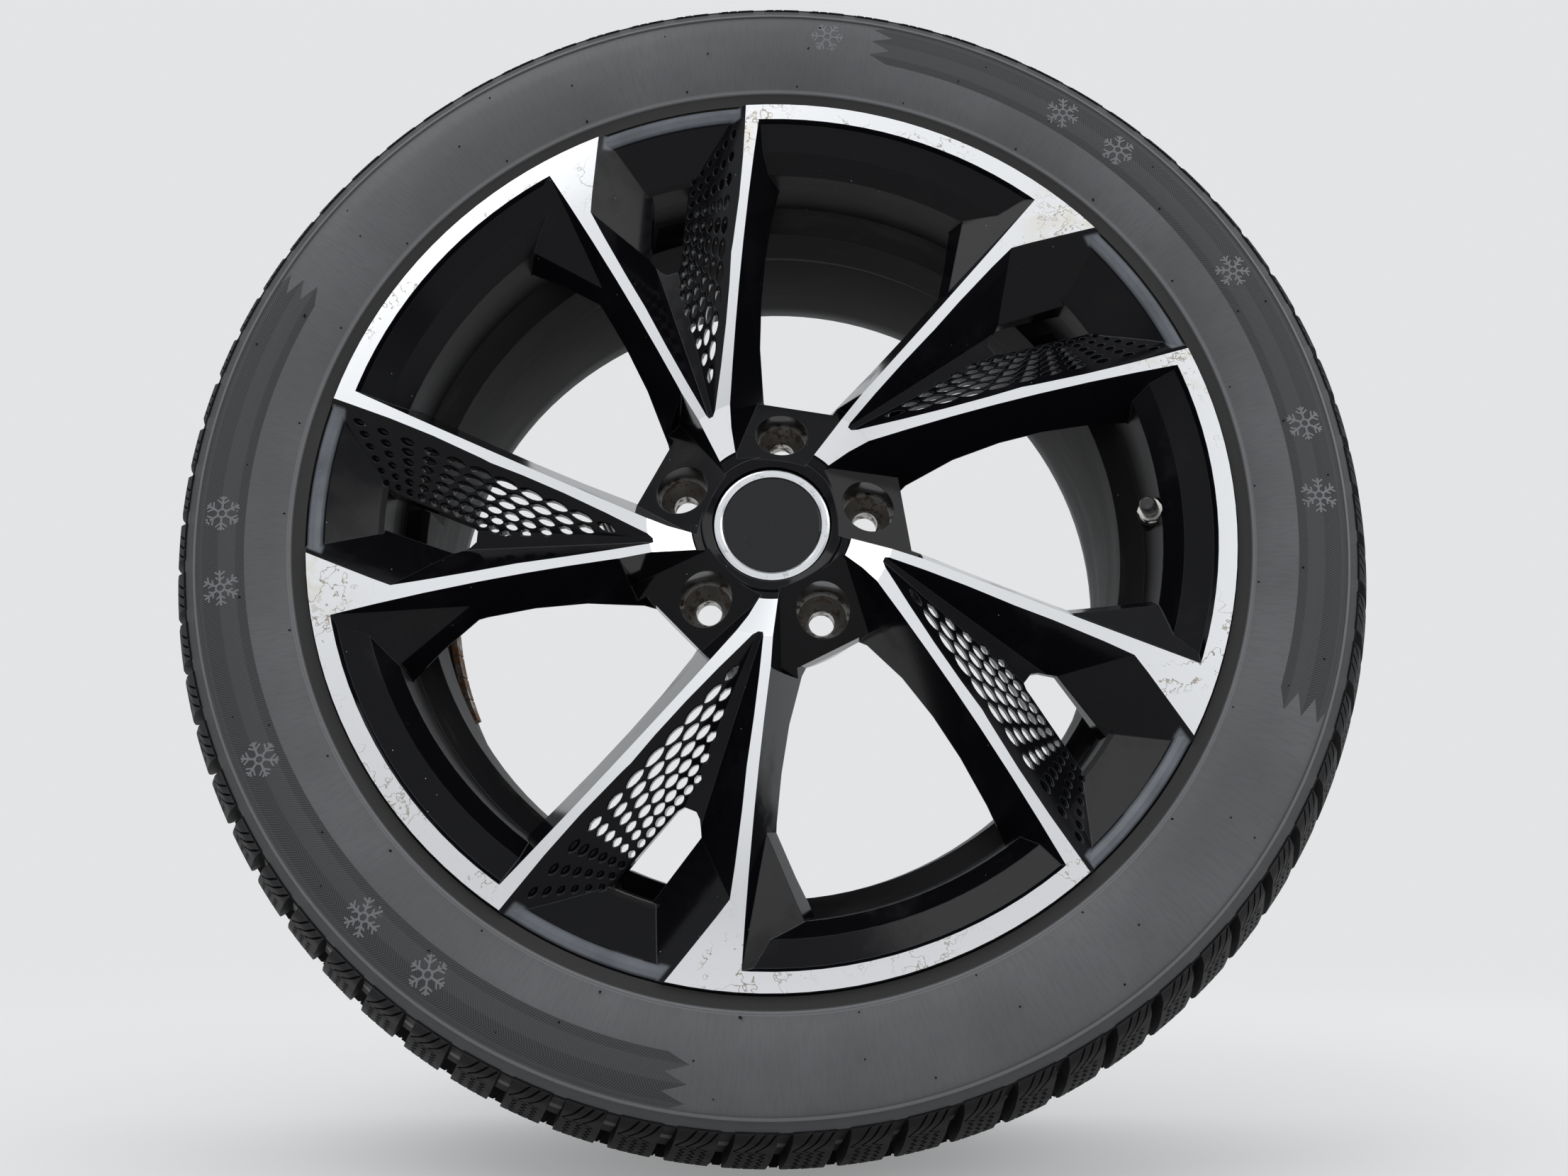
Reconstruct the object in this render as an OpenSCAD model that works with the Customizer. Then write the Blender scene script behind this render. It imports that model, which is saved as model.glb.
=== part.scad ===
// Road wheel and tyre assembly: a cast light-alloy wheel with five perforated V-spokes, its centre cap,
// a clamped metal valve, stick-on balance weights and a winter tyre. Millimetres.
// Each piece is drawn with +Z out of the wheel's face, then stood up so that the axle lies along Y,
// the face looks toward -Y and the tyre's lowest point is straight down. The origin is the wheel's centre.

/* [Part] */
// node to draw

/* [Rim] */
// diameter of the bead seats
seat_d = 462; // [455:0.5:470]
// distance between the inner faces of the two flanges
rim_w = 203.2; // [195:0.1:212]
// height of the flanges over the bead seats
flange_h = 17.2; // [15:0.1:19]
// thickness of each flange along the axle
flange_t = 10.9; // [9:0.1:13]
// width of the turned ring on the face's edge
lip_w = 10.6; // [7:0.1:14]
// inside diameter of the front of the barrel
barrel_d = 430; // [424:0.5:436]
// depth of the black slope behind the turned ring
slope_h = 22.4; // [18:0.1:28]
// inside diameter of the well
well_d = 408; // [402:0.5:412]
// wall of the barrel at the well
well_t = 6; // [4.5:0.1:8]
// length of the well along the axle
well_w = 30; // [24:1:40]
// inside diameter of the back of the barrel
back_d = 436; // [432:0.5:440]

/* [Hub] */
// centre bore that sits on the car's hub
bore_d = 66.6; // [57:0.1:74]
// circle of the five wheel bolts
pcd = 112; // [108:0.5:116]
// clearance hole of a wheel bolt
bolt_d = 15; // [13:0.1:16]
// counterbore over each bolt seat
socket_d = 30; // [27:0.5:32]
// depth of the bolt seats' upper edge under the face
seat_z = 62; // [56:0.5:68]
// depth of the mounting face under the wheel's face
mount_z = 84.6; // [78:0.2:92]
// diameter of the mounting face
mount_d = 150; // [144:0.5:154]
// depth of the lug plates at the bolt circle
plate_z = 39.6; // [36:0.2:44]
// lean of the lug plates
plate_a = 24.8; // [20:0.2:29]
// distance of the lug plates' outer edges from the axle
plate_r = 77; // [74:0.2:82]

/* [Spokes] */
// radius of the turned face's hollow curve
face_r = 850; // [700:10:1100]
// radius at which the turned face is level
face_c = 226; // [215:1:232]
// radius at which the face turns down to the hub
hub_r = 68.3; // [62:0.1:74]
// slope of the turned face round the hub
hub_a = 26.8; // [20:0.2:32]
// distance of the narrow arm's window wall from the axle
narrow_c = 36.4; // [34:0.1:39]
// lean of the narrow arm
narrow_a = 25.5; // [23.5:0.1:27]
// distance of the wide arm's window wall from the axle
wide_c = 0.8; // [0:0.1:3]
// lean of the wide arm
wide_a = 13.9; // [12:0.1:16]
// draft of the window walls
draft = 20; // [15:0.5:23]
// depth of the pocket's floor at its hub end
floor_z0 = 17.2; // [15:0.2:20]
// depth of the pocket's floor at the slot
floor_z1 = 28; // [26:0.2:29]
// radius of the slot's hub end
slot_r = 163; // [156:0.5:170]
// width of the slot
slot_w = 14.5; // [10:0.5:18]
// thickness of the perforated web along the axle
web_t = 6.2; // [5:0.1:8]

/* [Perforations] */
// rows of holes across the web
hole_rows = 6; // [2:1:6]
// holes in each row
hole_cols = 8; // [2:1:9]
// distance between the rows
row_gap = 4.45; // [4.3:0.05:4.7]
// length of the longest holes
hole_l = 13.6; // [10:0.1:14]
// width of the holes
hole_w = 3.1; // [2:0.1:3.4]

/* [Tyre] */
// outside diameter of the tyre
tyre_d = 677.7; // [670:0.5:684]
// width of the tyre over its sidewalls
tyre_w = 243; // [238:0.5:248]
// width of the tread
tread_w = 204; // [196:1:210]
// radius of the tread's crown across the tyre
crown_r = 470; // [400:10:700]
// depth of the tread grooves
groove_h = 7; // [4:0.1:8]
// width of the ring grooves
groove_w = 9; // [5:0.5:11]
// radius of the thin ridge round the sidewall
ridge_r = 302.6; // [300:0.1:306]
// radius at which the shoulder blocks begin
block_r = 309.2; // [307:0.1:312]
// shoulder blocks round the tyre
lug_n = 72; // [36:1:80]
// width of the grooves between the shoulder blocks
lug_gap = 7; // [5:0.1:9]
// thickness of the sidewalls
wall_t = 7; // [5:0.1:9]
// clearance between tyre and rim
bead_gap = 0.3; // [0.1:0.05:0.5]

/* [Centre cap] */
// diameter of the black cap disc
cap_d = 56; // [52:0.5:58]
// outside diameter of the bright ring
ring_d = 67; // [64:0.5:69]
// depth of the ring's crown under the wheel's face
ring_z = 33.5; // [32:0.1:35]
// height of the ring
ring_h = 4; // [3:0.1:5]
// diameter of the hole that takes the cap's tongues
clip_d = 51; // [48:0.5:53]
// length of the tongues
clip_l = 12; // [10:0.2:14]
// depth of the groove round the tongues' hooks
relief_t = 0.8; // [0.4:0.1:1.2]
// clip tongues
clip_n = 6; // [4:1:8]
// thickness of the cap's disc
cap_t = 2.4; // [1.8:0.1:3]
// thickness of the tongues
clip_t = 1.6; // [1.2:0.1:2]
// wire of the spreader ring
wire_d = 1.4; // [1:0.1:1.8]

/* [Valve] */
// angle of the valve round the wheel
valve_a = 1.9; // [0:0.1:4]
// lean of the valve from the axle toward the hub
valve_lean = 24; // [20:0.5:28]
// diameter of the stem's shank
shank_d = 7; // [6:0.1:7.6]
// diameter of the stem's thread
thread_d = 5.6; // [5:0.1:6]
// size of the nut across its flats
nut_af = 12.6; // [11:0.1:13]
// height of the nut
nut_h = 4.6; // [3.5:0.1:6]
// diameter of the washer
washer_d = 13.6; // [12.6:0.1:14.4]
// thickness of the washer
washer_t = 0.8; // [0.5:0.1:1.2]
// diameter of the dust cap
dust_d = 9.3; // [8.4:0.1:10]
// length of the dust cap
dust_l = 11.5; // [10:0.1:12.5]
// ribs round the dust cap
rib_n = 20; // [10:1:24]
// diameter of the air bore through the stem
air_d = 3.6; // [3.2:0.1:3.8]
// pin of the valve core
pin_d = 0.9; // [0.7:0.05:1.1]

/* [Weights] */
// length of one weight
weight_l = 15; // [12:0.5:18]
// width of the weights
weight_w = 12; // [10:0.5:14]
// thickness of the weights
weight_t = 3.8; // [3:0.1:5]
// weights in the long strip
strip_n = 4; // [2:1:6]
// angle of the long strip's middle
strip_a = 197; // [190:1:204]
// thickness of the tape
tape_t = 0.8; // [0.5:0.1:1.2]

/* [Hidden] */
$fn = 48;
ring_fn = 48;
tyre_fn = 48;
spokes = 5;
pitch_a = 360 / spokes;
turn0 = 18.6;
lug_a = 66;
front = rim_w / 2 + flange_t;
seat_r = seat_d / 2;
lip_r = seat_r + flange_h;
lip_in = lip_r - lip_w;
band_r = barrel_d / 2;
well_r = well_d / 2;
back_r = back_d / 2;
gap = 0.3;
fit = 0.1;
neck_z = ring_z + ring_h + clip_l / 2;
hook_l = clip_l / 2 + 1;
big = 400;

// depth of the turned face at radius r
function curve(r) = face_r - sqrt(pow(face_r, 2) - pow(face_c - min(r, face_c), 2));
function face(r) = r > hub_r ? curve(r) : curve(hub_r) + (hub_r - r) * tan(hub_a);
// plan lines of the spokes: side of a wall at depth d, s along the line
function unit(v) = v / norm(v);
function on_line(c, a, s) = [c * cos(a) + s * sin(a), -c * sin(a) + s * cos(a)];
function lift(p, d) = [p[0], p[1], front - d];
function wall(c, a, d, s, k) = lift(on_line(c + k * d * tan(draft), a, s), d);
function at(u, v, d) = [u, v, front - d];
function on_face(c, a, s) = lift(on_line(c, a, s), face(norm(on_line(c, a, s))));

// block that lies on one side of the plane through a, b and c, on the side of q
module beyond(a, b, c, q) {
  n = unit(cross(b - a, c - a));
  z = n * (q - a) > 0 ? n : -n;
  x = unit(b - a);
  y = cross(z, x);
  multmatrix([
    [x[0], y[0], z[0], a[0]],
    [x[1], y[1], z[1], a[1]],
    [x[2], y[2], z[2], a[2]],
    [0, 0, 0, 1]
  ])
    translate([-big, -big, 0])
      cube([2 * big, 2 * big, big]);
}

// space on one side of a drafted wall that follows the line with offset c and lean a
module beside(c, a, k, q) {
  beyond(wall(c, a, 0, 0, k), wall(c, a, 0, 100, k), wall(c, a, 40, 0, k), q);
}

// space on the window's side of the narrow arm
module past_narrow() {
  beside(-narrow_c, narrow_a, 1, at(200, 100, 0));
}

// space on the window's side of the wide arm
module past_wide() {
  beside(-wide_c, -wide_a, -1, at(-200, 100, 0));
}

// floor of a lug plate, and the plane of its outer edge
plate_n = lug_a - 4;
function plate_p(s, w) = [
  (pcd / 2 + s) * cos(plate_n) - w * sin(plate_n),
  (pcd / 2 + s) * sin(plate_n) + w * cos(plate_n),
  front - plate_z - s * tan(plate_a)
];
module over_plate() {
  beyond(plate_p(0, 0), plate_p(20, 0), plate_p(0, 20), plate_p(0, 0) + [0, 0, 9]);
}
module past_plate() {
  rotate([0, 0, plate_n])
    translate([plate_r, -big / 2, -big / 2])
      cube([big, big, big]);
}

// narrow walls of the V's hub end, beside the lug plates
module hub_sides() {
  beyond(at(-13.2, 32, 0), at(-5.2, 68, 0), at(-9.2, 32, 30), at(200, 100, 0));
}
module hub_sides_wide() {
  beyond(at(-9.6, 30, 0), at(-20.5, 70, 0), at(-14, 30, 30), at(-200, 60, 0));
}

// flare at the wide arm's outer end: a three-cornered facet that runs down from the window's corner
flare_a = on_line(-wide_c, -wide_a, lip_in - 0.9);
flare_b = [-82.5, 201.9, 22.1];
flare_c = [-49, 163.5, 20.6];
module flare() {
  b = lift(flare_b, flare_b[2]);
  c = lift(flare_c, flare_c[2]);
  run = unit(b - c);
  under = [-run[1], run[0], 0] * 30 * tan(draft) - [0, 0, 30];
  intersection() {
    beyond(lift(flare_a, 0.3), b, c, at(-60, 200, 90));
    beyond(b, c, c + under, at(-40, 200, 30));
    cylinder(h = 4 * big, r = lip_in, center = true);
  }
}

// one window between two V-spokes, with the lug plate cut down beside it
module window() {
  difference() {
    intersection() {
      past_narrow();
      rotate([0, 0, -pitch_a])
        past_wide();
      past_plate();
    }
    rotate([0, 0, -pitch_a])
      flare();
  }
  difference() {
    intersection() {
      past_narrow();
      hub_sides();
      rotate([0, 0, -pitch_a])
        hub_sides_wide();
      over_plate();
      cylinder(h = 4 * big, r = plate_r + 9, center = true);
    }
    cylinder(h = 4 * big, d = ring_d + 7, center = true);
  }
}

// the pocket between the two arms of a V
edge_c = -35.5;
edge_a = 23.3;
side_c = -3.9;
side_a = -10.8;
kink = [-41.7, 201.5];
tip = [-23.3, 247.5];
slot_in = at(-4, slot_r - 0.6, floor_z1);
slot_in_w = at(-15, slot_r + 0.4, floor_z1);
slot_out = at(18.9, 213.6, 24.8);
slot_out_w = at(-4.6, 214.9, 24.8);
high = at(0, 150, -60);
module past_web(t = 0, q = high) {
  down = [0, 0, -t];
  beyond(on_face(edge_c, edge_a, 80) + down, on_face(edge_c, edge_a, 150) + down, slot_in + down, q);
}
module past_web_out(t = 0, q = high) {
  down = [0, 0, -t];
  beyond(on_face(edge_c, edge_a, 150) + down, on_face(edge_c, edge_a, 242) + down, slot_out + down, q);
}
module pocket() {
  intersection() {
    union() {
      past_web();
      past_web_out();
    }
    union() {
      beyond(on_face(side_c, side_a, 74), on_face(side_c, side_a, 138), slot_in_w, high);
      beyond(on_face(side_c, side_a, 138), on_face(side_c, side_a, 205), slot_in_w, high);
    }
    beyond(at(kink[0], kink[1], 0.3), at(tip[0], tip[1], 0), slot_out_w, high);
    beyond(at(-13, 75, floor_z0), at(-4, 75, floor_z0), slot_in, high);
    rotate_extrude($fn = ring_fn)
      polygon([
        [0, -big / 4],
        [band_r - 0.8, -big / 4],
        [band_r - 0.8, front - slope_h - 1.6],
        [lip_r - 8, front - 7.4],
        [lip_r - 6.6, front - 4.6],
        [lip_r - 4, front - 2.9],
        [lip_r - 1.4, front - 2.9],
        [lip_r + 0.6, front - 4.2],
        [lip_r + 9, front - 4.2],
        [lip_r + 9, front + 9],
        [0, front + 9]
      ]);
  }
}

// the slot through the pocket's floor
module slot() {
  side = slot_w / cos(edge_a);
  intersection() {
    cylinder(h = 4 * big, r = band_r - 0.8, center = true);
    translate([0, 0, front - 60])
      linear_extrude(height = 60)
        polygon([
          [-1.2 - 2.6, slot_r + 0.4],
          [-1.2, slot_r + 3.4],
          [on_line(-66.1 + 31, edge_a, 0)[0] + 62.5, 240],
          [on_line(-66.1 + 31, edge_a, 0)[0] + 62.5 - side - 9, 240],
          [-17.2, 175.5],
          [2.4 - side, slot_r + 4],
          [5.4 - side, slot_r + 0.8]
        ]);
  }
}

// hollow behind the perforated web, open at the back
module web_hollow() {
  low = at(0, 150, 200);
  intersection() {
    past_web(web_t, low);
    past_web_out(web_t, low);
    beside(-narrow_c - 9, narrow_a, 1, at(-200, 100, 0));
    rotate([0, 0, -edge_a])
      translate([edge_c - 26, 84, -big / 2])
        cube([60, 114, big]);
  }
}

// one row-and-column field of long holes through the web
module holes() {
  for (i = [0 : hole_rows - 1]) {
    step = hole_l * 1.09 * (1 - 0.102 * i);
    for (j = [0 : hole_cols - 1]) {
      long = step * (j == 0 ? 0.72 : j < 5 ? 0.9 : 0.9 - 0.115 * (j - 4));
      rotate([0, 0, -edge_a])
        translate([edge_c - 6.1 - i * row_gap, 184 + (j - 7) * step, front - 80])
          linear_extrude(height = 80)
            polygon([
              [0, -long / 2],
              [hole_w / 2, -long / 5],
              [hole_w / 2, long / 5],
              [0, long / 2],
              [-hole_w / 2, long / 5],
              [-hole_w / 2, -long / 5]
            ]);
    }
  }
}

// bolt hole with its seat and counterbore
module bolt_hole() {
  rotate([0, 0, lug_a])
    translate([pcd / 2, 0, front])
      rotate([180, 0, 0]) {
        cylinder(h = mount_z + 5, d = bolt_d, $fn = 24);
        cylinder(h = seat_z, d = socket_d, $fn = 24);
        translate([0, 0, seat_z - 0.01])
          cylinder(h = 11, d1 = socket_d - 2, d2 = bolt_d, $fn = 24);
      }
}

// section of the rim, barrel and flanges
module rim_ring() {
  s = rim_w / 2;
  rotate_extrude($fn = ring_fn)
    polygon([
      [lip_in, front],
      [lip_r - 0.8, front],
      [lip_r, front - 0.8],
      [lip_r, s + 4.4],
      [lip_r - 5, s + 0.2],
      [seat_r + 6.5, s],
      [seat_r + 1.9, s - 1.9],
      [seat_r, s - 6.5],
      [seat_r - 1.4, s - 21.5],
      [seat_r - 0.7, s - 24],
      [seat_r - 3.4, s - 29],
      [well_r + well_t + 12, s - 47.6],
      [well_r + well_t, s - 63.6],
      [well_r + well_t, s - 63.6 - well_w],
      [back_r + well_t, s - 91.6 - well_w],
      [back_r + well_t, -s + 32],
      [seat_r - 0.7, -s + 24],
      [seat_r - 1.4, -s + 21.5],
      [seat_r, -s + 6.5],
      [seat_r + 1.9, -s + 1.9],
      [seat_r + 6.5, -s],
      [lip_r - 5, -s - 0.2],
      [lip_r, -s - 4.4],
      [lip_r, -front + 1],
      [lip_r - 1, -front],
      [lip_r - 8, -front],
      [back_r + 8, -front + 5],
      [back_r + 4, -front + 14],
      [back_r, -s + 22],
      [back_r, s - 83.6 - well_w],
      [well_r, s - 57.6 - well_w],
      [well_r, front - slope_h - 46],
      [band_r + 0.4, front - slope_h - 35.6],
      [band_r + 0.4, front - slope_h - 1],
      [band_r, front - slope_h],
      [band_r + 8, front - slope_h / 2.1],
      [lip_in - 1.4, front - 3.4]
    ]);
}

// the disc that the spokes are cut from
module spoke_disc() {
  rotate_extrude($fn = ring_fn)
    polygon(concat(
      [for (r = [0, hub_r, 90, 113, 136, 160, 188, 214, lip_in + 0.1]) [r, front - face(r)]],
      [
        [lip_in + 0.1, front - 6],
        [band_r + 3, front - slope_h],
        [band_r + 3, front - 44],
        [214, front - 39],
        [193, front - 35],
        [165, front - 33.6],
        [139, front - 36],
        [112, front - 43],
        [84, front - 57.5],
        [mount_d / 2 + 1.6, front - 66],
        [mount_d / 2, front - mount_z],
        [0, front - mount_z]
      ]
    ));
}

module alloy_wheel_solid() {
  difference() {
    union() {
      rim_ring();
      valve_frame()
        translate([0, 0, -boss_h])
          cylinder(h = boss_h, d = foot_d + 5.6, $fn = 24);
      difference() {
        spoke_disc();
        for (k = [0 : spokes - 1])
          rotate([0, 0, turn0 - k * pitch_a])
            window();
      }
    }
    for (k = [0 : spokes - 1])
      rotate([0, 0, turn0 - k * pitch_a]) {
        pocket();
        slot();
        web_hollow();
        holes();
        bolt_hole();
      }
    translate([0, 0, front - ring_z - ring_h])
      cylinder(h = 60, d = ring_d + 2 * fit, $fn = 48);
    translate([0, 0, front - 100])
      cylinder(h = 100, d = clip_d + 2 * gap, $fn = 48);
    translate([0, 0, front - 100])
      cylinder(h = 100 - neck_z - hook_l, d = bore_d, $fn = 48);
    translate([0, 0, front - neck_z - hook_l - 0.01])
      cylinder(h = hook_l + 0.01, d = bore_d + 2 * relief_t, $fn = 48);
    valve_frame() {
      translate([0, 0, -foot_z - 40])
        cylinder(h = foot_z + 60, d = hole_d, $fn = 24);
      cylinder(h = 30, d = washer_d + 1.4, $fn = 24);
      translate([0, 0, -60 - foot_z])
        cylinder(h = 60, d = foot_d + 1, $fn = 24);
    }
  }
}

// frame of the valve: origin on its outer seat, +Z along the stem out of the rim
module valve_frame() {
  rotate([0, 0, valve_a])
    translate([band_r - 1.6, 0, front - 34])
      rotate([0, -valve_lean, 0])
        children();
}

module upright() {
  rotate([90, 0, 0])
    children();
}

// the casting
module alloy_wheel() {
  color([0.16, 0.17, 0.19])
    upright()
      alloy_wheel_solid();
}

// ring grooves' middles, and a point of the tread's crown, or of a groove's floor, at z from the middle
ring_a = 0.1 * tread_w;
ring_b = 0.29 * tread_w;
function on_crown(z, deep = 0) = [tyre_d / 2 - crown_r + sqrt(pow(crown_r, 2) - pow(z, 2)) - deep, z];

// groove between two shoulder blocks, from the tread's outer ring groove down to the sidewall
module shoulder_groove() {
  tr = tyre_d / 2;
  tw = tyre_w / 2;
  tz = tread_w / 2;
  out = tr + 5;
  translate([0, lug_gap / 2, 0])
    rotate([90, 0, 0])
      linear_extrude(height = lug_gap)
        polygon([
          on_crown(ring_b, groove_h),
          [out, ring_b],
          [out, tw + 5],
          [block_r + 1, tw + 5],
          [block_r - 0.3, tw - 8],
          [tr - 28, tz + 4],
          [tr - 21, tz - 9.5],
          [tr - 7 - groove_h, tz - 28]
        ]);
}

// tyre: section of one half, then the whole ring with its grooves
module tyre() {
  s = rim_w / 2;
  g = bead_gap;
  tr = tyre_d / 2;
  tw = tyre_w / 2;
  tz = tread_w / 2;
  half = [
    [seat_r - 1.2 + g, s - 18.5],
    [seat_r + g, s - 6.8],
    [seat_r + 2.1 + g, s - 2.2],
    [seat_r + 6.6, s - g],
    [lip_r - 4.8, s + 0.2 - g],
    [lip_r + g, s + 4.2],
    [lip_r + g + 0.3, front - 3.2],
    [lip_r + 8, front - 2.2],
    [lip_r + 9.4, front - 0.4],
    [lip_r + 24, tw - 2.8],
    [lip_r + 41, tw],
    [ridge_r - 2, tw - 2.1],
    [ridge_r - 1, tw - 1.4],
    [ridge_r + 0.4, tw - 1.7],
    [ridge_r + 1.3, tw - 3.2],
    [block_r, tw - 5.3],
    [block_r + 3, tw - 8.5],
    [tr - 23.1, tz + 6.6],
    [tr - 18.9, tz - 1.5],
    [tr - 14.8, tz - 9.5],
    [tr - 10.9, tz - 18],
    [tr - 7, tz - 28],
    on_crown(ring_b + groove_w / 2),
    on_crown(ring_b + groove_w / 2 - 1, groove_h),
    on_crown(ring_b - groove_w / 2 + 1, groove_h),
    on_crown(ring_b - groove_w / 2),
    on_crown((ring_a + ring_b) / 2),
    on_crown(ring_a + groove_w / 2),
    on_crown(ring_a + groove_w / 2 - 1, groove_h),
    on_crown(ring_a - groove_w / 2 + 1, groove_h),
    on_crown(ring_a - groove_w / 2),
    [tr, 4]
  ];
  inner = [
    [tr - 15, 0],
    [tr - 17.5, tz - 30],
    [tr - 25, tz - 12],
    [tr - 33, tz + 12.5 - wall_t],
    [lip_r + 41, tw - wall_t],
    [lip_r + 18, tw - 5 - wall_t],
    [lip_r + 4, s - 3],
    [seat_r + 8, s - 17]
  ];
  n = len(half);
  m = len(inner);
  color([0.07, 0.07, 0.075])
    upright()
      difference() {
        rotate_extrude($fn = tyre_fn)
          polygon(concat(
            half,
            [for (i = [n - 1 : -1 : 0]) [half[i][0], -half[i][1]]],
            [for (i = [m - 1 : -1 : 1]) [inner[i][0], -inner[i][1]]],
            inner
          ));
        for (i = [0 : lug_n - 1])
          for (k = [0, 1])
            rotate([0, 0, (i + k / 2) * 360 / lug_n])
              mirror([0, 0, k])
                shoulder_groove();
      }
}

// cap disc with its clip tongues
cap_z = front - ring_z - ring_h;
step_z = cap_z - clip_l / 2;
module centre_cap() {
  r = clip_d / 2;
  color([0.02, 0.02, 0.025])
    upright() {
      translate([0, 0, cap_z])
        rotate_extrude($fn = 60)
          polygon([
            [0, -cap_t + 1.4],
            [r - 4, -cap_t + 1.4],
            [r - 4, 0],
            [ring_d / 2 - gap, 0],
            [ring_d / 2 - gap, 1.2],
            [cap_d / 2 - fit, 1.2],
            [cap_d / 2 - fit, cap_t],
            [cap_d / 2 - 1.2, cap_t + 0.6],
            [cap_d / 4, cap_t + 1],
            [0, cap_t + 1.1]
          ]);
      for (k = [0 : clip_n - 1])
        rotate([0, 0, k * 360 / clip_n])
          rotate([0, 0, -14])
            rotate_extrude(angle = 28, $fn = 60)
              polygon([
                [r - clip_t, cap_z + 0.2],
                [r - clip_t, cap_z - clip_l],
                [r - 0.4, cap_z - clip_l],
                [r + 1.2, step_z - 1.2],
                [r + 1.2, step_z - gap],
                [r, step_z - gap],
                [r, cap_z + 0.2]
              ]);
    }
}

// bright ring that lies on the cap's flange
module cap_ring() {
  r0 = cap_d / 2;
  r1 = ring_d / 2 - gap;
  color([0.8, 0.81, 0.83])
    upright()
      translate([0, 0, cap_z + 1.2])
        rotate_extrude($fn = 60)
          polygon([
            [r0, 0],
            [r1, 0],
            [r1, ring_h - 2.6],
            [r1 - 0.7, ring_h - 1.6],
            [r1 - 2, ring_h - 1.2],
            [r0 + 1, ring_h - 1.2],
            [r0, ring_h - 1.9]
          ]);
}

// wire ring that spreads the tongues
module cap_spring() {
  color([0.6, 0.61, 0.62])
    upright()
      translate([0, 0, step_z - 2])
        rotate_extrude($fn = 28)
          translate([clip_d / 2 - clip_t - wire_d / 2 - fit, 0])
            circle(d = wire_d, $fn = 13);
}

// valve: everything from its foot to its dust cap, in the valve's own frame
foot_z = 9;
foot_d = shank_d + 3.4;
boss_h = 20;
foot_h = 3;
pad_h = 2.2;
hole_d = shank_d + 1.6;
small_fn = 16;
nut_top = washer_t + nut_h;
dust_z = nut_top + 1;
seal_t = 1.2;
roof_z = dust_z + dust_l - 1.6;
stem_top = roof_z - seal_t - fit;
core_l = 9;
core_d = air_d - 2 * fit;
core_in = core_d - 1.2;
pin_h = 0.8;
pin_z = stem_top - core_l - 0.6;
stroke = 1.2;
coil_low = stem_top - 5.6;
coil_high = stem_top - 2.4;
bridge_z = stem_top - 1.9;
module in_valve() {
  upright()
    valve_frame()
      children();
}
module valve_stem() {
  color([0.72, 0.7, 0.64])
    in_valve()
      rotate_extrude($fn = small_fn)
        polygon([
          [air_d / 2 - 0.9, -foot_z - pad_h - foot_h],
          [foot_d / 2, -foot_z - pad_h - foot_h],
          [foot_d / 2, -foot_z - pad_h],
          [shank_d / 2, -foot_z - pad_h],
          [shank_d / 2, nut_top + 0.4],
          [thread_d / 2, nut_top + 1],
          [thread_d / 2, stem_top - 0.5],
          [thread_d / 2 - 0.5, stem_top],
          [air_d / 2, stem_top],
          [air_d / 2, pin_z - pin_h - stroke - gap],
          [air_d / 2 - 0.9, pin_z - pin_h - stroke - gap]
        ]);
}
module valve_grommet() {
  color([0.05, 0.05, 0.05])
    in_valve()
      rotate_extrude($fn = small_fn)
        polygon([
          [shank_d / 2 + fit, -foot_z - pad_h + fit],
          [foot_d / 2, -foot_z - pad_h + fit],
          [foot_d / 2, -foot_z - fit],
          [hole_d / 2 - fit, -foot_z - fit],
          [hole_d / 2 - fit, -1],
          [shank_d / 2 + fit, -1]
        ]);
}
module valve_washer() {
  color([0.8, 0.8, 0.78])
    in_valve()
      rotate_extrude($fn = 24)
        polygon([
          [shank_d / 2 + fit, 0],
          [washer_d / 2, 0],
          [washer_d / 2, washer_t],
          [shank_d / 2 + fit, washer_t]
        ]);
}
module valve_nut() {
  r = nut_af / sqrt(3);
  color([0.86, 0.85, 0.8])
    in_valve()
      translate([0, 0, washer_t])
        difference() {
          intersection() {
            cylinder(h = nut_h, r = r, $fn = 6);
            cylinder(h = nut_h, r1 = r + nut_h - 0.8, r2 = r - 0.8, $fn = 24);
          }
          translate([0, 0, -1])
            cylinder(h = nut_h + 2, d = shank_d + 2 * fit, $fn = small_fn);
        }
}
module valve_core() {
  color([0.78, 0.66, 0.36])
    in_valve()
      rotate_extrude($fn = small_fn)
        polygon([
          [core_in / 2, stem_top - core_l],
          [core_d / 2, stem_top - core_l],
          [core_d / 2, coil_low - 0.8],
          [core_d / 2 - 0.35, coil_low - 0.8],
          [core_d / 2 - 0.35, coil_low + 0.4],
          [core_d / 2, coil_low + 0.4],
          [core_d / 2, stem_top - 1.4],
          [pin_d / 2 + 0.2, stem_top - 1.4],
          [pin_d / 2 + 0.2, bridge_z],
          [core_in / 2, bridge_z],
          [core_in / 2, coil_low],
          [pin_d / 2 + 0.2, coil_low],
          [pin_d / 2 + 0.2, coil_low - 0.5],
          [core_in / 2, coil_low - 0.5]
        ]);
}
module valve_core_seal() {
  color([0.5, 0.08, 0.06])
    in_valve()
      rotate_extrude($fn = small_fn)
        polygon([
          [core_d / 2 - 0.3, coil_low - 0.75],
          [core_d / 2, coil_low - 0.75],
          [core_d / 2, coil_low + 0.35],
          [core_d / 2 - 0.3, coil_low + 0.35]
        ]);
}

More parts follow.
